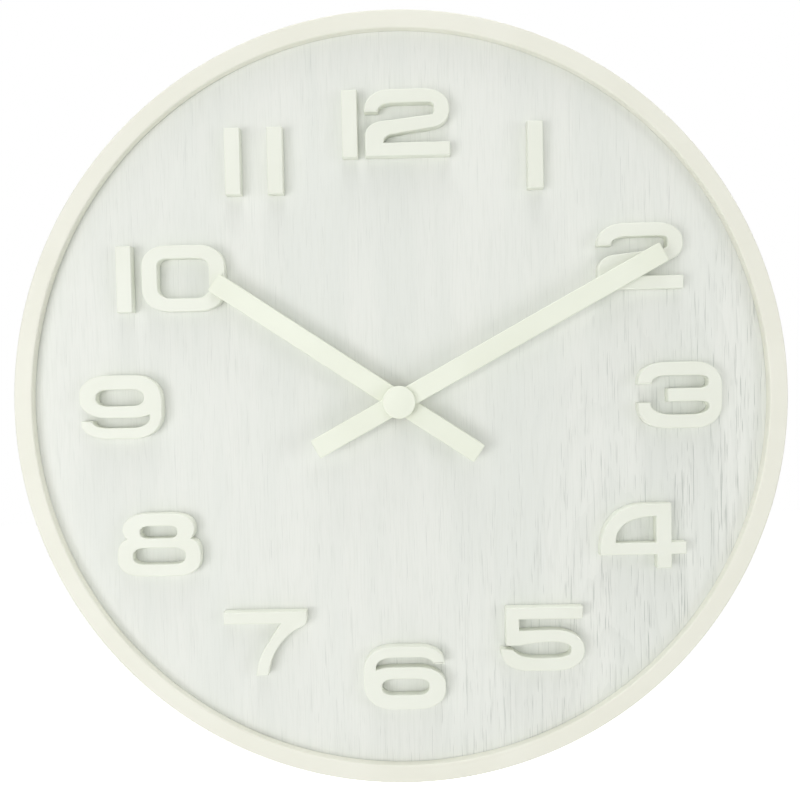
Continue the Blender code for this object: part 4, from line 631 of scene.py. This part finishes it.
def printed_wrap(name):
    """Shrink film on a steel cell: a dark body, a bright band by the button end and a fine seam.
    Its colours follow the place along the cell, so they stay with it as it slides out."""
    material, tree, surface, place = new_finish(name, Roughness=0.28, IOR=1.5)
    low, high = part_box("battery")
    along = add_node(tree, "ShaderNodeSeparateXYZ", links={"Vector": place}).outputs["X"]
    band = span(tree, along, high.x - 14.2 * MM, high.x - 14.0 * MM, smooth=False)
    crimp = span(tree, along, high.x - 1.75 * MM, high.x - 1.7 * MM, smooth=False)
    foot = span(tree, along, low.x + 0.95 * MM, low.x + 0.9 * MM, smooth=False)
    scuff = noise(tree, stretched(tree, place, 7 * MM, 0.8 * MM, 0.8 * MM), 3.0)
    body = blended(tree, span(tree, scuff, 0.45, 0.75, 0.0, 0.35), "23262B", "3A3E45")
    coloured = blended(tree, band, body, "B98A3A")
    bare = combined(tree, "MAXIMUM", crimp, foot)
    tree.links.new(blended(tree, bare, coloured, "C9CBCD"), surface.inputs["Base Color"])
    tree.links.new(bare, surface.inputs["Metallic"])
    tree.links.new(raised(tree, scuff, 0.02 * MM, 0.4), surface.inputs["Normal"])
    return material


def make_finishes():
    """Every finish of the clock, by the record's material slot."""
    colours = bpy.context.scene.clock_colours
    return {
        "rim_lacquer": sprayed_lacquer("sprayed_lacquer_rim", colours.rim, colours.rim_shade, 0.5),
        "numeral_lacquer": sprayed_lacquer(
            "sprayed_lacquer_numerals", colours.numerals, colours.numerals_shade, 0.5
        ),
        "hand_lacquer": sprayed_lacquer(
            "sprayed_lacquer_hands", colours.hands, colours.hands_shade, 0.42
        ),
        "limed_veneer": limed_veneer(
            "limed_open_pored_veneer",
            (colours.veneer, colours.veneer_clouds, colours.veneer_early, colours.veneer_pores),
        ),
        # Raw medium-density board: felted fibres with no grain direction, dull brown.
        "fibreboard": grained_wood(
            "raw_fibreboard", "A48259", "8F6E48", 14 * MM, 14 * MM, 0.6 * MM
        ),
        # Planed pine: pale, with soft rings along the block's length.
        "pale_wood": grained_wood("planed_pine", "DDBF8E", "C39A62", 2.5 * MM, 30 * MM, 0.4 * MM),
        # Zinc-plated pressed steel: grey, slightly cloudy, with rolling lines.
        "zinc_steel": worked_metal("zinc_plated_steel", "C4C7C8", "9EA3A6", 0.34, (9, 0.5, 0.3)),
        # Nickel-plated spring strip: brighter and warmer than zinc.
        "spring_steel": worked_metal("nickel_plated_strip", "D2CFC6", "B4B0A6", 0.25, (0.3, 4, 4)),
        "bright_steel": worked_metal("drawn_steel_can", "D0D0CC", "B0B0AE", 0.22, (3, 0.3, 0.3)),
        # Turned brass with fine tool lines round the axis, darkened to a dull brownish yellow as
        # painted shade for where it shows in the dark hollow between the hands above the hub.
        "brass": worked_metal("turned_brass_darkened_as_shade", "A88C4F", "7E6534", 0.34, (3, 0.25, 3)),
        "silicon_steel": worked_metal(
            "varnished_electrical_sheet", "8E9296", "6E7276", 0.42, (0.4, 4, 5)
        ),
        # Black polystyrene with a spark-eroded mould face, drawn at 0.5 mm so that it shows.
        "case_plastic": moulded_plastic(
            "moulded_black_polystyrene", "1A1B1D", "26282B", 0.46, 0.5, 0.03, marked=True
        ),
        "white_acetal": moulded_plastic("natural_acetal", "EDEDE6", "DEDED4", 0.36, 0.6, 0.01),
        "green_acetal": moulded_plastic("tinted_acetal", "6FA58A", "5B8F74", 0.36, 0.6, 0.01),
        "circuit_laminate": moulded_plastic("paper_laminate", "B9914F", "9C7638", 0.5, 0.4, 0.01),
        "epoxy_black": moulded_plastic("cast_epoxy", "101012", "1B1B1E", 0.22, 1.5, 0.02),
        "enamelled_copper": wound_wire("enamelled_copper_wire"),
        "rotor_magnet": moulded_plastic("bonded_magnet", "46484C", "34363A", 0.4, 0.3, 0.02),
        "gasket_rubber": moulded_plastic("moulded_rubber", "1C1C1D", "29292A", 0.8, 0.5, 0.03),
        "cell_can": printed_wrap("printed_shrink_film"),
    }


FINISHES = {}


def finish_of(node):
    """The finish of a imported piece."""
    return FINISHES[SLOT_OF[node]]


def dress(node):
    """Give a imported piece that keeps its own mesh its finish."""
    mesh = frame["nodes"][node].data
    mesh.materials.clear()
    mesh.materials.append(finish_of(node))


def worked_piece(name, node, surface, nodes=None):
    """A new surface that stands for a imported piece, with that piece's body, slot and finish."""
    points, faces = surface
    return new_piece(
        name, points, faces, finish_of(node), BODY_OF[node], nodes or (node,)
    )


def heights(node):
    """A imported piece's rear and front heights above the wall."""
    low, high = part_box(node)
    return -high.y, -low.y


def middle(node):
    """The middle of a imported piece's outline, as (x, z)."""
    low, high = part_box(node)
    return ((low.x + high.x) / 2, (low.z + high.z) / 2)


# Sizes and colours that a user would change


def length(name, description, default):
    """A length property in metres."""
    return bpy.props.FloatProperty(
        name=name, description=description, default=default, min=0.0,
        subtype="DISTANCE", unit="LENGTH", precision=5,
    )


def power(name, description, default):
    """A lamp's power property in watts."""
    return bpy.props.FloatProperty(
        name=name, description=description, default=default, subtype="POWER", unit="POWER",
    )


def colour(name, description, default):
    """A colour property, held as an sRGB hex value."""
    return bpy.props.StringProperty(name=name, description=description, default=default)


class ClockSizes(bpy.types.PropertyGroup):
    """Small sizes of the finished surfaces."""

    rim_face: length("Rim face", "Width of the rim's flat front face", 0.0124)
    rim_wall: length("Rim wall", "Thickness of the rim behind the dial", 0.009)
    rim_lip: length("Rim lip", "Height of the dial's seat above the wall", 0.0289)
    rim_edge: length("Rim edge", "Radius of the rim's front edges", 0.0012)
    digit_edge: length("Numeral edge", "Radius of the numerals' front edges", 0.0008)
    digit_rear_edge: length("Numeral rear edge", "Radius of the numerals' rear edges", 0.0003)
    hand_edge: length("Hand edge", "Radius of the hands' edges", 0.0005)
    hand_corner: length("Hand corner", "Radius of the hands' square corners", 0.0012)
    hand_width: length("Hand width", "Width of both hands", 0.0137)
    hand_tail: length("Hand tail", "Length of both hands behind the hub", 0.065)
    minute_reach: length("Minute reach", "Length of the minute hand from the hub", 0.2036)
    hour_reach: length("Hour reach", "Length of the hour hand from the hub", 0.1498)
    boss_edge: length("Boss edge", "Radius of the boss's edge", 0.0009)


class ClockColours(bpy.types.PropertyGroup):
    """Colours of the finishes that show most."""

    rim: colour("Rim", "Lacquer on the rim", "ECECE0")
    rim_shade: colour("Rim shade", "Darker drift in the rim's lacquer", "E9E9DC")
    numerals: colour("Numerals", "Lacquer on the numerals", "ECEFE4")
    numerals_shade: colour("Numerals shade", "Darker drift in the numerals' lacquer", "E9ECE0")
    hands: colour("Hands", "Lacquer on the hands", "EDF1E2")
    hands_shade: colour("Hands shade", "Darker drift in the hands' lacquer", "E9EDDD")
    veneer: colour("Veneer", "Limed ground of the veneer", "E9EBE5")
    veneer_clouds: colour("Veneer clouds", "Wide soft bands in the veneer", "E4E7E1")
    veneer_early: colour("Veneer early wood", "Fine lines between the pores", "DEE1DA")
    veneer_pores: colour("Veneer pores", "Pores and late wood", "C2C6C0")


class StageSettings(bpy.types.PropertyGroup):
    """Camera, lamps and floor."""

    camera_place: bpy.props.FloatVectorProperty(
        name="Camera place", description="Where the camera stands", size=3,
        default=(0.0076, -0.6356, -0.2239), subtype="TRANSLATION", unit="LENGTH",
    )
    camera_pitch: bpy.props.FloatProperty(
        name="Camera pitch", description="Downward tilt of the camera",
        default=math.radians(1.91), subtype="ANGLE",
    )
    camera_yaw: bpy.props.FloatProperty(
        name="Camera yaw", description="Turn of the camera to its left",
        default=math.radians(-0.67), subtype="ANGLE",
    )
    camera_roll: bpy.props.FloatProperty(
        name="Camera roll", description="Roll of the camera",
        default=math.radians(1.17), subtype="ANGLE",
    )
    lens: bpy.props.FloatProperty(
        name="Lens", description="Focal length in millimetres on a 36 mm sensor", default=39.497,
    )
    left_power: power("Left lamp", "Softbox on the left", 14.0)
    front_power: power("Front lamp", "Softbox over the camera", 6.5)
    right_power: power("Right lamp", "Softbox on the right", 7.5)
    top_power: power("Top lamp", "Softbox above", 5.0)
    low_power: power("Low lamp", "Softbox below", 15.0)
    high_power: power("High strip", "Grazing light from straight above", 16.0)
    foot_power: power("Foot strip", "Grazing light from straight below", 9.0)
    rear_power: power("Rear lamp", "Softbox behind the clock", 22.0)
    fill: bpy.props.FloatProperty(
        name="Fill", description="Strength of the even light from all round", default=0.335,
    )
    floor_drop: length("Floor drop", "Height of the clock's lowest point above the floor", 0.84)


# Pieces


class CLOCK_OT_finishes(bpy.types.Operator):
    """Make every finish of the clock"""

    bl_idname = "clock.finishes"
    bl_label = "Finishes"

    def execute(self, context):
        FINISHES.update(make_finishes())
        return {"FINISHED"}


class CLOCK_OT_rim(bpy.types.Operator):
    """Turn the deep round frame, with rounded front edges and a rebate behind its lip"""

    bl_idname = "clock.rim"
    bl_label = "Rim"

    def execute(self, context):
        sizes = context.scene.clock_sizes
        radius = (RIM_HIGH.x - RIM_LOW.x) / 2
        rear, front = heights("rim")
        inner = radius - sizes.rim_face
        rebate = radius - sizes.rim_wall
        corners = [
            (radius, rear), (radius, front), (inner, front),
            (inner, sizes.rim_lip), (rebate, sizes.rim_lip), (rebate, rear),
        ]
        edge = sizes.rim_edge
        radii = (0.0006, edge, edge, 0.0003, 0.0004, 0.0004)
        profile = filleted(corners, radii, guard=GUARD)
        worked_piece("rim_turned", "rim", turned(profile, 360))
        return {"FINISHED"}


class CLOCK_OT_dial(bpy.types.Operator):
    """Give the dial board and its veneer their finishes"""

    bl_idname = "clock.dial"
    bl_label = "Dial"

    def execute(self, context):
        for node in ("dial_board", "dial_veneer"):
            dress(node)
        return {"FINISHED"}


class CLOCK_OT_numerals(bpy.types.Operator):
    """Cut the fifteen digits with smooth bends and rounded front edges"""

    bl_idname = "clock.numerals"
    bl_label = "Numerals"

    def execute(self, context):
        sizes = context.scene.clock_sizes
        for number in range(1, 13):
            digits = str(number)
            places = ("_tens", "_units") if len(digits) > 1 else ("",)
            for digit, place in zip(digits, places):
                node = f"numeral_{number}{place}"
                shares = DIGIT_SHARES["6" if digit == "9" else digit]
                loops = [bent_outline(corners, digit == "9") for corners in shares]
                half = (loops[0].min(0) + loops[0].max(0)) / 2
                loops = [loop - half for loop in loops]
                rear, front = heights(node)
                profile = edge_profile(rear, front, sizes.digit_rear_edge, sizes.digit_edge)
                worked_piece(f"{node}_cut", node, slab(loops, profile, middle(node)))
        return {"FINISHED"}


class CLOCK_OT_hands(bpy.types.Operator):
    """Make both bar hands with their bushes, and the domed boss in front"""

    bl_idname = "clock.hands"
    bl_label = "Hands"

    def execute(self, context):
        sizes = context.scene.clock_sizes
        half = sizes.hand_width / 2
        for node, reach, hole, degrees in (
            ("hour_hand", sizes.hour_reach, 0.0041, 304),
            ("minute_hand", sizes.minute_reach, 0.0031, 61.5),
        ):
            corners = [
                (-half, -sizes.hand_tail), (half, -sizes.hand_tail), (half, reach), (-half, reach),
            ]
            bar = filleted(corners, [sizes.hand_corner] * 4)
            rear, front = heights(node)
            profile = edge_profile(rear, front, sizes.hand_edge, sizes.hand_edge, 4)
            surface = slab([bar, circle(hole, 48)], profile, HUB, -math.radians(degrees))
            worked_piece(f"{node}_bar", node, surface)
        for node in ("hour_hand_bush", "minute_hand_bush"):
            dress(node)
        rear, front = heights("minute_boss")
        low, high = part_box("minute_boss")
        radius = (high.x - low.x) / 2
        edge = sizes.boss_edge
        shoulder = front - edge
        # The dome falls from the middle by a share of the squared distance, as a shallow bowl does.
        across = np.linspace(0, 1, 12)
        dome = np.stack([across * (radius - edge), front - 0.55 * edge * across ** 2], 1)
        turn = np.linspace(QUARTER, 0, 7)[1:]
        drop = front - 0.55 * edge - shoulder
        rim = np.stack([radius - edge + edge * np.cos(turn), shoulder + drop * np.sin(turn)], 1)
        foot = [(radius, rear + 0.0002), (radius - 0.0002, rear), (0, rear)]
        profile = np.vstack([dome, rim, foot])
        worked_piece("boss_domed", "minute_boss", turned(profile, 96, closed=False))
        return {"FINISHED"}


def hexagon_nut(rear, front, half_flats, bore, chamfer, steps=144):
    """A chamfered nut: at angle a the radius is the lesser of the hexagon's, which is half the
    width across flats over the cosine of the angle from the nearest flat, and the turned cone's."""
    angle = np.arange(steps) * 2 * math.pi / steps
    from_flat = (angle + math.pi / 6) % (math.pi / 3) - math.pi / 6
    hexagon = half_flats / np.cos(from_flat)
    corner = half_flats / math.cos(math.pi / 6)
    rows = [
        (bore, rear), (half_flats, rear), (corner, rear + chamfer / 2),
        (corner, front - chamfer), (half_flats * 0.97, front), (bore + 0.0003, front),
        (bore, front - 0.0003),
    ]
    radius = np.array([np.minimum(hexagon, cone) if cone > bore + 0.0004 else
                       np.full(steps, cone) for cone, _ in rows]).T
    height = np.broadcast_to([h for _, h in rows], radius.shape)
    points = np.stack([
        HUB_X + radius * np.cos(angle)[:, None], -height, HUB_Z + radius * np.sin(angle)[:, None]
    ], -1)
    ids = np.arange(radius.size).reshape(radius.shape)
    return points.reshape(-1, 3), grid_faces(ids, True, True)


class CLOCK_OT_fixings(bpy.types.Operator):
    """Make the washer and the chamfered nut that clamp the movement, and the thread they run on"""

    bl_idname = "clock.fixings"
    bl_label = "Fixings"

    def execute(self, context):
        rear, front = heights("washer")
        low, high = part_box("washer")
        radius = (high.x - low.x) / 2
        bore = 0.0043
        corners = [(radius, rear), (radius, front), (bore, front), (bore, rear)]
        profile = filleted(corners, [0.0002] * 4, steps=3)
        worked_piece("washer_turned", "washer", turned(profile, 96))

        nut_rear, nut_front = heights("bush_nut")
        low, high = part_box("bush_nut")
        flats = min(high.x - low.x, high.z - low.z) / 2
        nut = hexagon_nut(nut_rear, nut_front, flats, 0.0043, 0.0006)
        worked_piece("nut_chamfered", "bush_nut", nut)
        dress("gasket")

        # A helical ridge on the bush: the radius is a triangle wave of the height less the turn.
        top = heights("movement_front_case")[1]
        pitch = 0.0007
        steps = 64
        height = np.arange(front + 0.0002, top - 0.0004, pitch / 6)
        angle = np.arange(steps) * 2 * math.pi / steps
        phase = (height[None, :] / pitch - angle[:, None] / (2 * math.pi)) % 1
        ridge = 1 - np.abs(2 * phase - 1)
        radius = 0.00402 + 0.00018 * ridge
        inner = np.full((steps, 1), 0.00395)
        radius = np.hstack([inner, radius, inner])
        height = np.concatenate([height[:1], height, height[-1:]])
        points = np.stack([
            HUB_X + radius * np.cos(angle)[:, None],
            np.broadcast_to(-height, radius.shape),
            HUB_Z + radius * np.sin(angle)[:, None],
        ], -1)
        ids = np.arange(radius.size).reshape(radius.shape)
        new_piece(
            "bush_thread", points, grid_faces(ids, True, True), FINISHES["brass"],
            BODY_OF["movement_front_case"],
        )
        return {"FINISHED"}


class CLOCK_OT_hanging(bpy.types.Operator):
    """Soften the hanging block, glue blocks and keyhole plate, and finish the screws"""

    bl_idname = "clock.hanging"
    bl_label = "Hanging parts"

    def execute(self, context):
        for node, width in (
            ("hanging_block", 0.0006), ("glue_block_left", 0.0006), ("glue_block_right", 0.0006),
            ("glue_block_bottom", 0.0006), ("hanger_plate", 0.00018),
        ):
            softened_copy(node, f"{node}_eased", finish_of(node), width)
        for node in ("hanger_screw_left", "hanger_screw_right"):
            softened_copy(node, f"{node}_eased", finish_of(node), 0.00008)
        return {"FINISHED"}


class CLOCK_OT_movement(bpy.types.Operator):
    """Ease the movement's case and knob, and finish every piece inside the case"""

    bl_idname = "clock.movement"
    bl_label = "Movement"

    def execute(self, context):
        for node, width in (
            ("movement_front_case", 0.00025), ("movement_rear_case", 0.0003),
            ("setting_knob", 0.0002),
        ):
            softened_copy(node, f"{node}_eased", finish_of(node), width)
        for node in (
            "train_plate", "circuit_board", "driver_chip", "quartz_crystal", "coil_bobbin",
            "coil_winding", "coil_core", "stator", "rotor", "intermediate_wheel", "seconds_wheel",
            "third_wheel", "centre_wheel", "minute_pinion", "motion_wheel", "hour_wheel",
            "contact_positive", "contact_negative",
        ):
            dress(node)
        return {"FINISHED"}


class CLOCK_OT_battery(bpy.types.Operator):
    """Turn the cell: wrapped can, crimped shoulder, button and flat foot"""

    bl_idname = "clock.battery"
    bl_label = "Battery"

    def execute(self, context):
        low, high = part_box("battery")
        radius = (high.z - low.z) / 2
        centre_y, centre_z = (low.y + high.y) / 2, (low.z + high.z) / 2
        button = 0.00275
        shoulder = high.x - 0.0011
        corners = [
            (0, low.x + 0.0002), (radius - 0.0022, low.x + 0.0002), (radius - 0.0018, low.x),
            (radius - 0.0006, low.x), (radius - 0.0002, low.x + 0.0009), (radius, low.x + 0.0013),
            (radius, shoulder - 0.0011), (radius - 0.0007, shoulder - 0.0004),
            (radius - 0.0009, shoulder), (radius - 0.0022, shoulder),
            (radius - 0.0026, shoulder - 0.0003), (button, shoulder - 0.0003),
            (button, high.x), (0, high.x),
        ]
        soft = (0, 0.0002, 0.0002, 0.0004, 0.0003, 0.0003, 0.0005, 0.0003, 0.0003, 0.0002, 0.0002,
                0.0002, 0.0004, 0)
        profile = filleted(corners, soft, closed=False, steps=3)
        points, faces = turned(profile, 72, (0.0, 0.0), closed=False)
        # The turned axis is Y with the height reversed: carry it onto X.
        points = np.stack([-points[:, 1], centre_y + points[:, 0], centre_z + points[:, 2]], 1)
        worked_piece("cell_wrapped", "battery", (points, faces))
        return {"FINISHED"}


# Stage


def soft_lamp(name, tilt, around, size, watts):
    """A square softbox 2.2 m from the hub and facing it, tilted off the dial's axis by some degrees
    in the direction that is the given number of degrees counter-clockwise from the right."""
    data = bpy.data.lights.new(name, "AREA")
    data.shape = "SQUARE"
    data.size = size
    data.energy = watts
    lamp = bpy.data.objects.new(name, data)
    tilt, around = math.radians(tilt), math.radians(around)
    away = Vector((
        math.sin(tilt) * math.cos(around), -math.cos(tilt), math.sin(tilt) * math.sin(around)
    ))
    lamp.location = Vector((HUB_X, -0.03, HUB_Z)) + 2.2 * away
    lamp.rotation_euler = (-away).to_track_quat("-Z", "Y").to_euler()
    bpy.context.scene.collection.objects.link(lamp)


class CLOCK_OT_stage(bpy.types.Operator):
    """Set the camera, the softboxes, the pale floor and the white surround"""

    bl_idname = "clock.stage"
    bl_label = "Stage"

    def execute(self, context):
        scene = context.scene
        stage = scene.clock_stage
        data = bpy.data.cameras.new("camera")
        data.sensor_fit = "HORIZONTAL"
        data.sensor_width = 36.0
        data.lens = stage.lens
        camera = bpy.data.objects.new("camera", data)
        forward = Matrix.Rotation(QUARTER, 3, "X")
        turn = (
            forward @ Matrix.Rotation(-stage.camera_yaw, 3, "Y")
            @ Matrix.Rotation(-stage.camera_pitch, 3, "X")
            @ Matrix.Rotation(-stage.camera_roll, 3, "Z")
        )
        camera.matrix_world = Matrix.Translation(stage.camera_place) @ turn.to_4x4()
        scene.collection.objects.link(camera)
        scene.camera = camera

        for name, tilt, around, size, watts in (
            ("left_softbox", 40, 196, 1.0, stage.left_power),
            ("front_softbox", 14, 170, 0.8, stage.front_power),
            ("right_softbox", 55, 2, 0.9, stage.right_power),
            ("top_softbox", 56, 88, 0.8, stage.top_power),
            ("low_softbox", 46, 276, 0.5, stage.low_power),
            ("high_strip", 80, 90, 0.8, stage.high_power),
            ("foot_strip", 80, 270, 0.8, stage.foot_power),
            ("rear_softbox", 150, 50, 1.0, stage.rear_power),
        ):
            soft_lamp(name, tilt, around, size, watts)

        world = bpy.data.worlds.new("surround")
        world.use_nodes = True
        tree = world.node_tree
        tree.nodes.clear()
        path = add_node(tree, "ShaderNodeLightPath").outputs
        seen = combined(
            tree, "MAXIMUM", path["Is Camera Ray"],
            combined(tree, "MAXIMUM", path["Is Glossy Ray"], path["Is Transmission Ray"]),
        )
        even = add_node(
            tree, "ShaderNodeBackground", {"Color": (1, 1, 1, 1), "Strength": stage.fill}
        )
        white = add_node(tree, "ShaderNodeBackground", {"Color": (1, 1, 1, 1), "Strength": 1.0})
        mixed = add_node(
            tree, "ShaderNodeMixShader",
            links={0: seen, 1: even.outputs["Background"], 2: white.outputs["Background"]},
        )
        add_node(tree, "ShaderNodeOutputWorld", links={"Surface": mixed.outputs["Shader"]})
        scene.world = world

        half = 6.0
        level = CAD_BOX[0].z - stage.floor_drop
        mesh = bpy.data.meshes.new("floor")
        corners = [(-half, -half, level), (half, -half, level), (half, half, level),
                   (-half, half, level)]
        mesh.from_pydata(corners, [], [(0, 1, 2, 3)])
        material, tree, surface, place = new_finish("matt_white_floor", Roughness=0.9)
        speckle = noise(tree, stretched(tree, place, 4 * MM, 4 * MM, 4 * MM))
        tree.links.new(
            blended(tree, speckle, "F4F4F2", "F8F8F6"), surface.inputs["Base Color"]
        )
        surface.inputs["Emission Color"].default_value = (1, 1, 1, 1)
        path = add_node(tree, "ShaderNodeLightPath").outputs
        seen = combined(
            tree, "MAXIMUM", path["Is Camera Ray"],
            combined(tree, "MAXIMUM", path["Is Glossy Ray"], path["Is Transmission Ray"]),
        )
        tree.links.new(
            times(tree, seen, 0.7), surface.inputs["Emission Strength"]
        )
        mesh.materials.append(material)
        floor = bpy.data.objects.new("floor", mesh)
        scene.collection.objects.link(floor)

        scene.view_settings.view_transform = "Standard"
        return {"FINISHED"}


class CLOCK_PT_panel(bpy.types.Panel):
    """Lists the clock's sizes, colours and build steps"""

    bl_idname = "CLOCK_PT_panel"
    bl_label = "Wall clock"
    bl_space_type = "VIEW_3D"
    bl_region_type = "UI"
    bl_category = "Clock"

    def draw(self, context):
        column = self.layout.column()
        for group in (
            context.scene.clock_sizes, context.scene.clock_colours, context.scene.clock_stage
        ):
            for name in group.__annotations__:
                column.prop(group, name)
        for step in STEPS:
            column.operator(step.bl_idname)


STEPS = (
    CLOCK_OT_finishes,
    CLOCK_OT_rim,
    CLOCK_OT_dial,
    CLOCK_OT_numerals,
    CLOCK_OT_hands,
    CLOCK_OT_fixings,
    CLOCK_OT_hanging,
    CLOCK_OT_movement,
    CLOCK_OT_battery,
    CLOCK_OT_stage,
)
GROUPS = {
    "clock_sizes": ClockSizes,
    "clock_colours": ClockColours,
    "clock_stage": StageSettings,
}


def register():
    """Register the groups, steps and panel."""
    for name, group in GROUPS.items():
        bpy.utils.register_class(group)
        setattr(bpy.types.Scene, name, bpy.props.PointerProperty(type=group))
    for step in STEPS:
        bpy.utils.register_class(step)
    bpy.utils.register_class(CLOCK_PT_panel)


def unregister():
    """Take back everything that register added."""
    bpy.utils.unregister_class(CLOCK_PT_panel)
    for step in reversed(STEPS):
        bpy.utils.unregister_class(step)
    for name, group in reversed(GROUPS.items()):
        delattr(bpy.types.Scene, name)
        bpy.utils.unregister_class(group)


def main():
    """Build every piece and the stage."""
    register()
    for step in STEPS:
        group, action = step.bl_idname.split(".")
        getattr(getattr(bpy.ops, group), action)()


if __name__ == "__main__":
    main()
